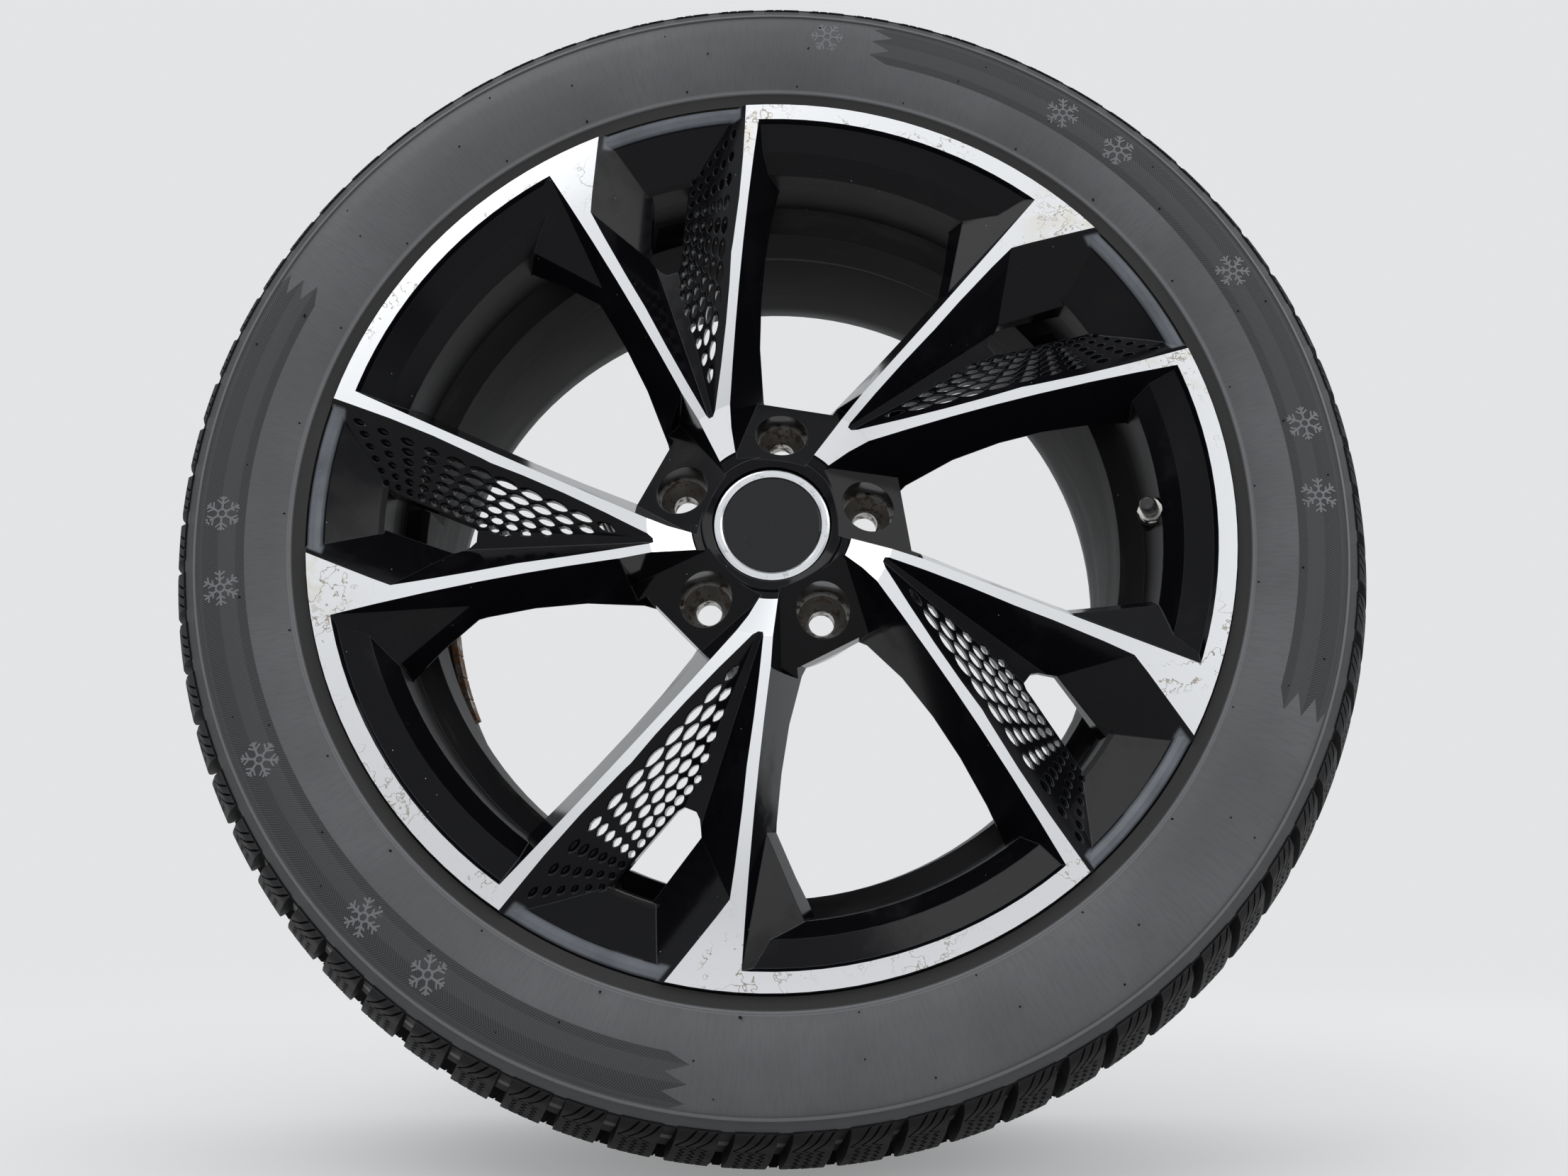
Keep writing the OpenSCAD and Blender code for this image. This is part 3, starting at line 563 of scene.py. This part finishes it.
METAL = turned_metal()
GLOSS = gloss_black()
BARREL = barrel_black()
SEAT = worn_seat()
SIDEWALL = sidewall_rubber()
TREAD = tread_rubber()
ORNAMENT = ornament_rubber()


def revolve(profile, segments):
    """Points and faces of a closed profile of (radius, y) turned round the axle."""
    points, faces = [], []
    count = len(profile)
    for k in range(segments):
        turn = 2 * math.pi * k / segments
        points += [(r * math.cos(turn), y, r * math.sin(turn)) for r, y in profile]
    for k in range(segments):
        a = k * count
        b = (k + 1) % segments * count
        for i in range(count):
            j = (i + 1) % count
            faces.append((a + i, b + i, b + j, a + j))
    return points, faces


# the casting
def lens(length, width):
    """Outline of one pointed oval, long way along y."""
    out = []
    for i in range(HOLE_CORNERS):
        turn = 2 * math.pi * i / HOLE_CORNERS
        side = math.sin(turn)
        out.append((width / 2 * side * abs(side) ** 0.35, length / 2 * math.cos(turn)))
    return out


def web_point(along, across=EDGE_C):
    """The (u, v) of a point of the web, from its places along and across the narrow arm's edge."""
    return (
        across * math.cos(EDGE_A) + along * math.sin(EDGE_A),
        -across * math.sin(EDGE_A) + along * math.cos(EDGE_A),
    )


def plane_through(points):
    """The plane through three points, as the numbers of depth = a u + b v + c."""
    rows = np.array([(u, v, 1.0) for u, v, _ in points])
    return np.linalg.solve(rows, np.array([d for _, _, d in points]))


def web_planes():
    """The two planes of the perforated web, on either side of its fold."""
    ends = [web_point(along) for along in (80, 150, 242)]
    near, fold, far = [(*end, face_depth(math.hypot(*end))) for end in ends]
    hub_side = plane_through([near, fold, SLOT_START])
    rim_side = plane_through([fold, far, SLOT_END])
    return hub_side, rim_side


def hole_rings(planes, k, i, j):
    """Rings of the countersunk cutter for hole j of row i on spoke k, from the front down."""
    step = HOLE_STEP * (1 - ROW_SHRINK * i)
    along = FIXED_ALONG + (j - FIXED_COLUMN) * step
    across = EDGE_C - FIRST_ROW - i * ROW_GAP
    bottom = OPEN_SINK if j < OPEN_COLUMNS else BLIND_SINK
    rings = []
    for grow, sink in ((1.3, -1.1), (0.35, 0.1), (0.0, 1.0), (0.0, bottom)):
        ring = []
        for x, y in lens(step * HOLE_SHARES[j] + 2 * grow, HOLE_WIDTHS[j] - 0.2 + 2 * grow):
            u, v = web_point(along + y, across + x)
            depth = max(float(np.dot(p, (u, v, 1))) for p in planes) + sink
            ring.append(sector_point(k, u, v, depth))
        rings.append(ring)
    return rings


def hole_cutters():
    """Countersunk cutters for every hole of every spoke, as one mesh."""
    planes = web_planes()
    points, faces = [], []
    for k in range(SPOKES):
        for i in range(HOLE_ROWS):
            for j in range(HOLE_COLUMNS):
                add_stack(points, faces, hole_rings(planes, k, i, j), True)
    return points, faces


def cutter_from(name, points, faces):
    mesh = mesh_from(name, points, faces)
    bm = bmesh.new()
    bm.from_mesh(mesh)
    bmesh.ops.recalc_face_normals(bm, faces=bm.faces)
    bm.to_mesh(mesh)
    bm.free()
    return linked(name, mesh)


def merged_copy(name, node):
    """A copy of a node's mesh with its doubled points merged and its fixed normals left out."""
    mesh = nodes[node].data.copy()
    if "custom_normal" in mesh.attributes:
        mesh.attributes.remove(mesh.attributes["custom_normal"])
    bm = bmesh.new()
    bm.from_mesh(mesh)
    bmesh.ops.remove_doubles(bm, verts=bm.verts, dist=2e-6)
    bm.to_mesh(mesh)
    bm.free()
    return linked(name, mesh)


def cut(piece, cutter):
    """Takes the cutter out of the piece and deletes it."""
    change = piece.modifiers.new("cut", "BOOLEAN")
    change.operation = "DIFFERENCE"
    change.solver = "MANIFOLD"
    change.object = cutter
    seen = piece.evaluated_get(bpy.context.evaluated_depsgraph_get())
    made = bpy.data.meshes.new_from_object(seen)
    piece.modifiers.clear()
    old = piece.data
    piece.data = made
    bpy.data.meshes.remove(old)
    bpy.data.objects.remove(cutter)


# radii between which the CAD's turned face is straight, and its depths there
FACE_STOPS = (0, HUB_R / MM, 90, 113, 136, 160, 188, 214, 237.6, 260)
FACE_DEPTHS = [face_depth(r) for r in FACE_STOPS]
COLLAR_R = 45.2
COLLAR_INNER_R = 39.0
LIP_WIDTH = 1.2
SOCKET_R = 15.2
SOCKET_DEPTH = 58
BARREL_R = 194
BARREL_DEPTH = 60
BACK_NORMAL = 0.35
ZONE_TURNED, ZONE_GLOSS, ZONE_SATIN, ZONE_SEAT = range(4)


def is_turned(corners, normal):
    """True for a face of the casting that lies on the turned curve with all its corners."""
    if normal.y > -0.8:
        return False
    for x, y, z in corners:
        radius = math.hypot(x, z)
        depth = y + FRONT / MM
        turned = np.interp(radius, FACE_STOPS, FACE_DEPTHS)
        on_lip = radius > LIP_R / MM - LIP_WIDTH and depth < 1
        if radius < COLLAR_R - 0.3 or not on_lip and abs(depth - turned) > 0.25:
            return False
    return True


def wheel_zone(corners, normal):
    """Which material a face of the casting has."""
    if is_turned(corners, normal):
        return ZONE_TURNED
    x, _, z = np.mean(corners, axis=0)
    depths = [c[1] + FRONT / MM for c in corners]
    radii = [math.hypot(c[0], c[2]) for c in corners]
    for k in range(SPOKES):
        turn = LUG_ANGLE + TURN - k * PITCH
        bolt_x = BOLT_CIRCLE_R / MM * math.cos(turn)
        bolt_z = BOLT_CIRCLE_R / MM * math.sin(turn)
        from_bolt = math.hypot(x - bolt_x, z - bolt_z)
        if from_bolt < SOCKET_R and min(depths) > SOCKET_DEPTH and normal.y < BACK_NORMAL:
            return ZONE_SEAT
    if normal.y > BACK_NORMAL or min(radii) > BARREL_R and min(depths) > BARREL_DEPTH:
        return ZONE_SATIN
    return ZONE_GLOSS


def collar_cutter():
    """A shallow ring groove that parts the silver tips from the cap's ring."""
    profile = [(COLLAR_INNER_R, -1.0), (COLLAR_R + 0.5, -1.0), (COLLAR_R + 0.2, -0.3)]
    profile += [(COLLAR_R, 0.0), (COLLAR_R - 0.7, 1.1), (COLLAR_R - 1.2, 1.3), (COLLAR_INNER_R, 1.3)]
    placed = [(r, face_depth(r) + sink - FRONT / MM) for r, sink in profile]
    return revolve(placed, 180)


def casting():
    """The wheel's casting with its perforations, its collar groove and its four materials."""
    piece = merged_copy("wheel_casting", "alloy_wheel")
    cut(piece, cutter_from("cutters", *hole_cutters()))
    cut(piece, cutter_from("collar", *collar_cutter()))
    mesh = piece.data
    mesh.materials.clear()
    for material in (METAL, GLOSS, BARREL, SEAT):
        mesh.materials.append(material)
    for polygon in mesh.polygons:
        corners = [mesh.vertices[i].co / MM for i in polygon.vertices]
        polygon.material_index = wheel_zone(corners, polygon.normal)
        polygon.use_smooth = True
    mesh.set_sharp_from_angle(angle=math.radians(14))
    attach(piece, "wheel")
    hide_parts("alloy_wheel")


# the tyre, in millimetres
SIDEWALL_SEGMENTS = 540
TREAD_PITCHES = 72
TREAD_DEPTH = 7.0
TREAD_WIDTH = 204
CROWN_R = 470


def curve_through(points, steps):
    """Points along a smooth curve through the given ones."""
    p = np.array([points[0], *points, points[-1]], float)
    out = []
    for i in range(1, len(p) - 2):
        for t in np.linspace(0, 1, steps, endpoint=False):
            a, b, c, d = p[i - 1], p[i], p[i + 1], p[i + 2]
            square = 2 * a - 5 * b + 4 * c - d
            cube = 3 * b - a - 3 * c + d
            out.append(0.5 * (2 * b + (c - a) * t + square * t * t + cube * t ** 3))
    out.append(p[-2])
    return [tuple(q) for q in out]


WALL_CURVE = ((258, 112.0), (265, 116.3), (276, 119.95), (289, 121.22), (296.5, 120.6), (301, 119.5))


def carcass():
    """The tyre without its tread, from bead to bead."""
    bead = [(231.5, 83.2), (231.8, 94.6), (233.9, 99.1), (238.3, 101.2), (243.8, 101.5)]
    bead += [(248.7, 105.9), (249.1, 109.0)]
    line = [(254.6, 110.0), (255.6, 110.4), (256.0, 111.3), (256.8, 111.6), (257.3, 111.4)]
    wall = curve_through(WALL_CURVE, 7)
    ridge = [(301.4, 119.4), (301.8, 120.3), (303.0, 120.0), (303.7, 118.5)]
    under = [(306, 117.4), (309, 116.1), (309.2, 113), (311, 106.5), (314.6, 97.5), (319, 88)]
    under += [(322.6, 78), (326.2, 66), (328.4, 50), (330.4, 25)]
    half = bead + line + wall + ridge + under
    inside = [(323.6, 0), (321, 72), (313.6, 90), (305.6, 107.5), (289, 114.4), (268, 111.6)]
    inside += [(252, 98.6), (239, 84.6)]
    outer = [(r, -z) for r, z in half] + [(331.0, 0)] + [(r, z) for r, z in reversed(half)]
    inner = [(r, z) for r, z in reversed(inside)] + [(r, -z) for r, z in inside[1:]]
    points, faces = revolve(outer + inner, SIDEWALL_SEGMENTS)
    piece = tyre_piece("tyre_carcass", points, faces, SIDEWALL)
    piece.data.set_sharp_from_angle(angle=math.radians(40))
    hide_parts("tyre")


def crown(y):
    """Radius of the tread's surface at a distance from the middle, in millimetres."""
    return TYRE_R / MM - CROWN_R + math.sqrt(CROWN_R ** 2 - y ** 2)


def tread_section():
    """Half of the tread's section: radius, y, depth of a cross groove, depth of a slit, rib.

    Rib 0 is the middle one and rib 2 the shoulder. A row without depths is the floor of one of
    the two ring grooves.
    """
    ring_a = 0.1 * TREAD_WIDTH
    ring_b = 0.29 * TREAD_WIDTH
    half = 4.5
    sides = [(309.2, 116.2), (312.2, 113.0), (315.75, 108.6), (319.95, 100.5), (324.05, 92.5)]
    sides += [(327.95, 84), (331.85, 74)]
    rows = [(308.3, 116.2, 0, 0, 2), (308.7, 116.9, 0.7, 0, 2)]
    rows += [(309.3, 116.9, 0.8, 0.5, 2), (309.6, 116.1, 0, 0, 2)]
    for i, (r, y) in enumerate(curve_through(sides, 3)[1:], 1):
        groove = min(2.6 + 0.33 * i, 7)
        rows.append((r, y, groove, min(0.8 + 0.2 * i, 3), 2))
    rows.append((crown(69), 69, 7, 3, 2))
    rows.append((crown(ring_b + half), ring_b + half, 7, 3, 2))
    rows.append((crown(ring_b + half), ring_b + half - 0.5, None, None, 2))
    rows.append((crown(ring_b - half), ring_b - half + 0.5, None, None, 1))
    for y in (ring_b - half, 48, 42, 36, 30, ring_a + half):
        rows.append((crown(y), y, 5, 3, 1))
    rows.append((crown(ring_a + half), ring_a + half - 0.5, None, None, 1))
    rows.append((crown(ring_a - half), ring_a - half + 0.5, None, None, 0))
    for y in (ring_a - half, 10.5, 5):
        rows.append((crown(y), y, 0, 3, 0))
    return rows


# what a place across one pitch of the tread is
BLOCK, GROOVE_FLOOR, SLIT_FLOOR, SLIT_EDGE = range(4)
SHOULDER_Y = 100


def pitch_marks():
    """Places across one pitch, in millimetres, with what each is."""
    floor = [(place, GROOVE_FLOOR) for place in (-3.4, 0.0, 3.4)]
    marks = [(-3.9, BLOCK), *floor, (3.9, BLOCK)]
    for place in (9.3, 14.8, 20.3):
        marks += [(place - 0.7, SLIT_EDGE), (place - 0.45, SLIT_FLOOR)]
        marks += [(place + 0.45, SLIT_FLOOR), (place + 0.7, SLIT_EDGE)]
    return marks


def slit_shift(i, side, rib):
    """How far a slit is moved round the tyre: in zigzag on the ribs, aslant on the shoulder."""
    if side >= SHOULDER_Y:
        return (side - 108) * 0.55
    if rib:
        return 1.3 if i % 2 else -1.3
    return 0.0


def tread():
    """The tread from shoulder to shoulder, with its ring grooves, cross grooves and slits."""
    front = tread_section()
    rows = [(r, -y, g, s, rib) for r, y, g, s, rib in front] + [(crown(0) - 0.01, 0.0, 0, 3, 0)]
    rows += [(r, y, g, s, -rib if rib else 0) for r, y, g, s, rib in reversed(front)]
    base = np.array([(r, y) for r, y, *_ in rows])
    run = np.gradient(base, axis=0)
    normal = np.stack([run[:, 1], -run[:, 0]], axis=1)
    normal /= np.linalg.norm(normal, axis=1)[:, None]
    pitch = 2 * math.pi * TYRE_R / MM / TREAD_PITCHES
    marks = pitch_marks()
    columns = [(k * pitch + place, kind) for k in range(TREAD_PITCHES) for place, kind in marks]
    points, faces = [], []
    for arc, kind in columns:
        for i, (r, y, groove, slit, rib) in enumerate(rows):
            side = abs(y)
            sweep = (0.0, 0.5 * pitch + (side - 40) * 0.35, (side - 62) * 0.16)[abs(rib)]
            if rib < 0:
                sweep += 0.42 * pitch
            shift = slit_shift(i, side, rib) if kind in (SLIT_FLOOR, SLIT_EDGE) else 0.0
            depth = TREAD_DEPTH
            if groove is not None:
                depth = (0.0, groove, slit, 0.0)[kind]
            turn = (arc + sweep + shift) / (TYRE_R / MM)
            away = r - normal[i, 0] * depth
            points.append((away * math.cos(turn), y - normal[i, 1] * depth, away * math.sin(turn)))
    count = len(rows)
    for c in range(len(columns)):
        a = c * count
        b = (c + 1) % len(columns) * count
        faces += [(a + i, b + i, b + i + 1, a + i + 1) for i in range(count - 1)]
    piece = tyre_piece("tyre_tread", points, faces, TREAD)
    piece.data.set_sharp_from_angle(angle=math.radians(35))


def wall_height(r):
    """How far out the front sidewall stands at a radius, in millimetres from the middle plane."""
    stops = ((250, 109.5), *WALL_CURVE, (309, 116.2))
    return float(np.interp(r, [s[0] for s in stops], [s[1] for s in stops]))


def on_wall(angle, r, out):
    """A point in front of the front sidewall by the distance out, in millimetres."""
    return (r * math.cos(angle), -wall_height(r) - out, r * math.sin(angle))


# rows of vent hairs: how many, radius, and angle of the first in degrees
HAIR_ROWS = ((26, 259.5, 3.0), (24, 279, 9.0), (18, 294.5, 4.0))
HAIR_CORNERS = 6
HAIR_LIMIT = 121.45


def hair_rings(angle, r, long, lean, size):
    """Rings of one hair, from its foot in the sidewall to its tip."""
    rings = []
    for rise, wide in ((-0.3, size), (long * 0.6, size * 0.8), (long, size * 0.5)):
        push = lean * max(rise, 0) * 0.7
        out = min(rise * 0.6, HAIR_LIMIT - wall_height(r))
        ring = []
        for q in range(HAIR_CORNERS):
            turn = 2 * math.pi * q / HAIR_CORNERS
            swing = angle + (wide * math.cos(turn) + push) / r
            ring.append(on_wall(swing, r + wide * math.sin(turn), out))
        rings.append(ring)
    return rings


def vent_hairs():
    """Short rubber hairs that the mould's vents leave on the sidewall, as one piece."""
    points, faces = [], []
    for count, radius, start in HAIR_ROWS:
        for k in range(count):
            angle = math.radians(start + 360 * k / count + rng.uniform(-2, 2))
            r = radius + rng.uniform(-1, 1)
            long = rng.uniform(0.7, 1.6) if rng.random() < 0.85 else rng.uniform(2.2, 3.2)
            lean = rng.uniform(-0.8, 0.8) if long > 2 else rng.uniform(-0.2, 0.2)
            size = rng.uniform(0.45, 0.7)
            add_stack(points, faces, hair_rings(angle, r, long, lean, size), False)
    tyre_piece("vent_hairs", points, faces, TREAD)


# snow crystals: angle round the tyre in degrees, and which of the two patterns
FLAKE_R = 288.5
FLAKE_LIMIT = 121.48
FLAKES = (
    (83.6, 0),
    (54.5, 1),
    (46.8, 0),
    (27.6, 1),
    (8.5, 0),
    (0.4, 1),
    (-124.3, 0),
    (-132.7, 1),
    (-151.8, 0),
    (-170.4, 1),
    (-178.5, 0),
)


def arm_point(turn, reach, side=0.0):
    """A point at a reach along an arm of the crystal and a distance to its side."""
    across = math.cos(turn)
    up = math.sin(turn)
    return across * reach - up * side, up * reach + across * side


def flake_bars(kind):
    """Bars of a plain six-armed snow crystal as (x0, y0, x1, y1, width) in millimetres."""
    branches = ((4.2, 2.2), (6.9, 2.6)) if kind else ((5.2, 3.0), (7.6, 1.8))
    arms = [math.radians(60 * arm) for arm in range(6)]
    bars = []
    for arm in arms:
        bars.append((*arm_point(arm, 1.5), *arm_point(arm, 9.5), 1.1))
        for reach, size in branches:
            for side in (-size, size):
                tip = arm_point(arm, reach + size * 0.75, side)
                bars.append((*arm_point(arm, reach), *tip, 0.9))
    for arm in arms:
        start = arm + math.radians(30)
        end = arm + math.radians(90)
        bars.append((*arm_point(start, 2.4), *arm_point(end, 2.4), 1.0))
    return bars


def snow_flakes():
    """The snow crystals as flat raised bars; each bar's top has a slightly different height."""
    points, faces = [], []
    for degrees, kind in FLAKES:
        middle = math.radians(degrees)
        for x0, y0, x1, y1, wide in flake_bars(kind):
            run = np.array((x1 - x0, y1 - y0))
            side = np.array((-run[1], run[0])) / np.linalg.norm(run) * wide / 2
            corners = []
            for t in (0.0, 0.5, 1.0):
                spot = np.array((x0, y0)) + run * t
                corners += [spot + side, spot - side]
            base = len(points)
            lift = 0.003 * len(points) / 12 % 0.06
            for out in (-0.2, 0.24 + lift):
                for x, y in corners:
                    r = FLAKE_R + y
                    height = min(out, FLAKE_LIMIT - wall_height(r))
                    points.append(on_wall(middle + x / FLAKE_R, r, height))
            top = base + 6
            faces += [(top, top + 1, top + 3, top + 2), (top + 2, top + 3, top + 5, top + 4)]
            for a, b in ((0, 2), (2, 4), (4, 5), (5, 3), (3, 1), (1, 0)):
                faces.append((base + a, base + b, top + b, top + a))
    tyre_piece("snow_crystals", points, faces, ORNAMENT, smooth=False)


casting()
carcass()
tread()
vent_hairs()
snow_flakes()


# small parts keep their CAD meshes
FINISHES = {
    "centre_cap": cap_black(),
    "cap_ring": bright_metal("bright_ring", (0.78, 0.79, 0.81), 0.16),
    "cap_spring": bright_metal("spring_wire", (0.5, 0.5, 0.5), 0.35),
    "valve_stem": bright_metal("nickel", (0.66, 0.64, 0.58), 0.28),
    "valve_grommet": plain_black("grommet_rubber", (0.02, 0.02, 0.02), 0.6),
    "valve_washer": bright_metal("washer_plate", (0.62, 0.61, 0.57), 0.3),
    "valve_nut": bright_metal("nut_plate", (0.70, 0.69, 0.64), 0.24),
    "valve_core": bright_metal("core_brass", (0.66, 0.5, 0.22), 0.3),
    "valve_core_seal": plain_black("core_seal", (0.25, 0.03, 0.02), 0.6),
    "valve_pin": bright_metal("pin_brass", (0.66, 0.5, 0.22), 0.3),
    "valve_pin_seal": plain_black("pin_seal", (0.02, 0.02, 0.02), 0.6),
    "valve_spring": bright_metal("coil_wire", (0.5, 0.5, 0.5), 0.3),
    "valve_cap": plain_black("dust_cap_plastic", (0.016, 0.016, 0.017), 0.36, 900),
    "valve_cap_seal": plain_black("cap_seal", (0.2, 0.03, 0.02), 0.6),
    "balance_weights": rusty_steel(),
    "weight_tape": plain_black("tape_foam", (0.02, 0.02, 0.02), 0.85),
}
for name, finish in FINISHES.items():
    mesh = nodes[name].data
    mesh.materials.clear()
    mesh.materials.append(finish)


def valve_coil():
    """The valve's spring, copied from its CAD mesh with its transform baked in."""
    piece = merged_copy("valve_coil", "valve_spring")
    piece.data.materials.clear()
    piece.data.materials.append(FINISHES["valve_spring"])
    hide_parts("valve_spring")
    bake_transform(piece)


valve_coil()


# floor, light and camera
def background_share(tree):
    """1 for rays that show the background: the camera's, mirrored and refracted ones."""
    path = tree.nodes.new("ShaderNodeLightPath")
    total = path.outputs["Is Camera Ray"]
    for name in ("Is Glossy Ray", "Is Transmission Ray"):
        made = tree.nodes.new("ShaderNodeMath")
        made.operation = "MAXIMUM"
        tree.links.new(total, made.inputs[0])
        tree.links.new(path.outputs[name], made.inputs[1])
        total = made.outputs[0]
    return path, total


FLOOR_HALF = 9


def make_floor():
    """A pale floor under the tyre that turns into the backdrop's colour away from the wheel."""
    low = tyre_low.z
    corners = [(-1, -1), (1, -1), (1, 1), (-1, 1)]
    mesh = bpy.data.meshes.new("floor")
    mesh.from_pydata([(x * FLOOR_HALF, y * FLOOR_HALF, low) for x, y in corners], [], [(0, 1, 2, 3)])
    floor = linked("floor", mesh)
    s = Shade("floor_paint", (0.8, 0.8, 0.8), 0.9)
    out = next(n for n in s.tree.nodes if n.type == "OUTPUT_MATERIAL")
    glow = s.node("ShaderNodeEmission")
    glow.inputs[0].default_value = (*PALE, 1)
    _, share = background_share(s.tree)
    span = s.node("ShaderNodeVectorMath", operation="LENGTH")
    s.feed(span.inputs[0], s.place)
    far = s.step(span.outputs["Value"], 0.9, 2.6, 0.35, 1.0)
    mix = s.node("ShaderNodeMixShader")
    s.feed(mix.inputs[0], s.both(far, share))
    s.tree.links.new(s.bsdf.outputs[0], mix.inputs[1])
    s.tree.links.new(glow.outputs[0], mix.inputs[2])
    s.tree.links.new(mix.outputs[0], out.inputs[0])
    mesh.materials.append(s.material)


def make_world():
    """An even backdrop for the camera, and a soft studio for the light and the reflections."""
    world = bpy.data.worlds.new("studio")
    bpy.context.scene.world = world
    world.use_nodes = True
    tree = world.node_tree
    tree.nodes.clear()

    def add(kind, **settings):
        made = tree.nodes.new(kind)
        for key, value in settings.items():
            setattr(made, key, value)
        return made

    def ranged(value, low, high, to_low, to_high):
        made = add("ShaderNodeMapRange", interpolation_type="SMOOTHSTEP")
        tree.links.new(value, made.inputs[0])
        for socket, number in zip(list(made.inputs)[1:5], (low, high, to_low, to_high)):
            socket.default_value = number
        return made.outputs[0]

    def mixed(share, a, b):
        made = add("ShaderNodeMix")
        for slot, value in ((0, share), (2, a), (3, b)):
            if isinstance(value, bpy.types.NodeSocket):
                tree.links.new(value, made.inputs[slot])
            else:
                made.inputs[slot].default_value = value
        return made.outputs[0]

    direction = add("ShaderNodeTexCoord").outputs["Generated"]
    parts = add("ShaderNodeSeparateXYZ")
    tree.links.new(direction, parts.inputs[0])
    _, y, z = parts.outputs
    # light on the object: stronger from above
    lit = ranged(z, -0.5, 0.8, 0.15, 1.0)
    # what mirror surfaces see: pale behind and above, dark in front below
    front = ranged(z, -0.16, 0.22, 0.05, 0.86)
    side = ranged(y, -0.1, 0.35, 0.0, 1.0)
    seen = mixed(side, front, 0.86)
    path, share = background_share(tree)
    strength = mixed(share, lit, seen)
    strength = mixed(path.outputs["Is Camera Ray"], strength, 1.0)
    tint = add("ShaderNodeMix", data_type="RGBA")
    tree.links.new(path.outputs["Is Camera Ray"], tint.inputs[0])
    tint.inputs[6].default_value = (0.96, 0.98, 1.0, 1)
    tint.inputs[7].default_value = (*PALE, 1)
    back = add("ShaderNodeBackground")
    tree.links.new(tint.outputs[2], back.inputs[0])
    tree.links.new(strength, back.inputs[1])
    out = add("ShaderNodeOutputWorld")
    tree.links.new(back.outputs[0], out.inputs[0])


def facing(place, aim):
    """The rotation with which a lamp or camera at a place looks at the aim."""
    return (Vector(aim) - Vector(place)).to_track_quat("-Z", "Y").to_euler()


def make_light(name, place, aim, size, power):
    data = bpy.data.lights.new(name, "AREA")
    data.shape = "DISK"
    data.size = size
    data.energy = power
    light = linked(name, data)
    light.location = place
    light.rotation_euler = facing(place, aim)


def make_camera():
    data = bpy.data.cameras.new("camera")
    data.lens = CAMERA_LENS
    data.sensor_width = 36
    data.clip_start = 0.01
    data.clip_end = 60
    camera = linked("camera", data)
    camera.location = CAMERA_PLACE
    camera.rotation_euler = facing(CAMERA_PLACE, CAMERA_AIM)
    bpy.context.scene.camera = camera


make_floor()
make_world()
make_light("key", (-1.1, -1.6, 2.2), (0, 0, 0), 1.6, 18)
make_light("fill", (1.8, -1.4, 1.1), (0, 0, 0), 1.4, 12)
make_camera()
bpy.context.scene.view_settings.view_transform = "Standard"
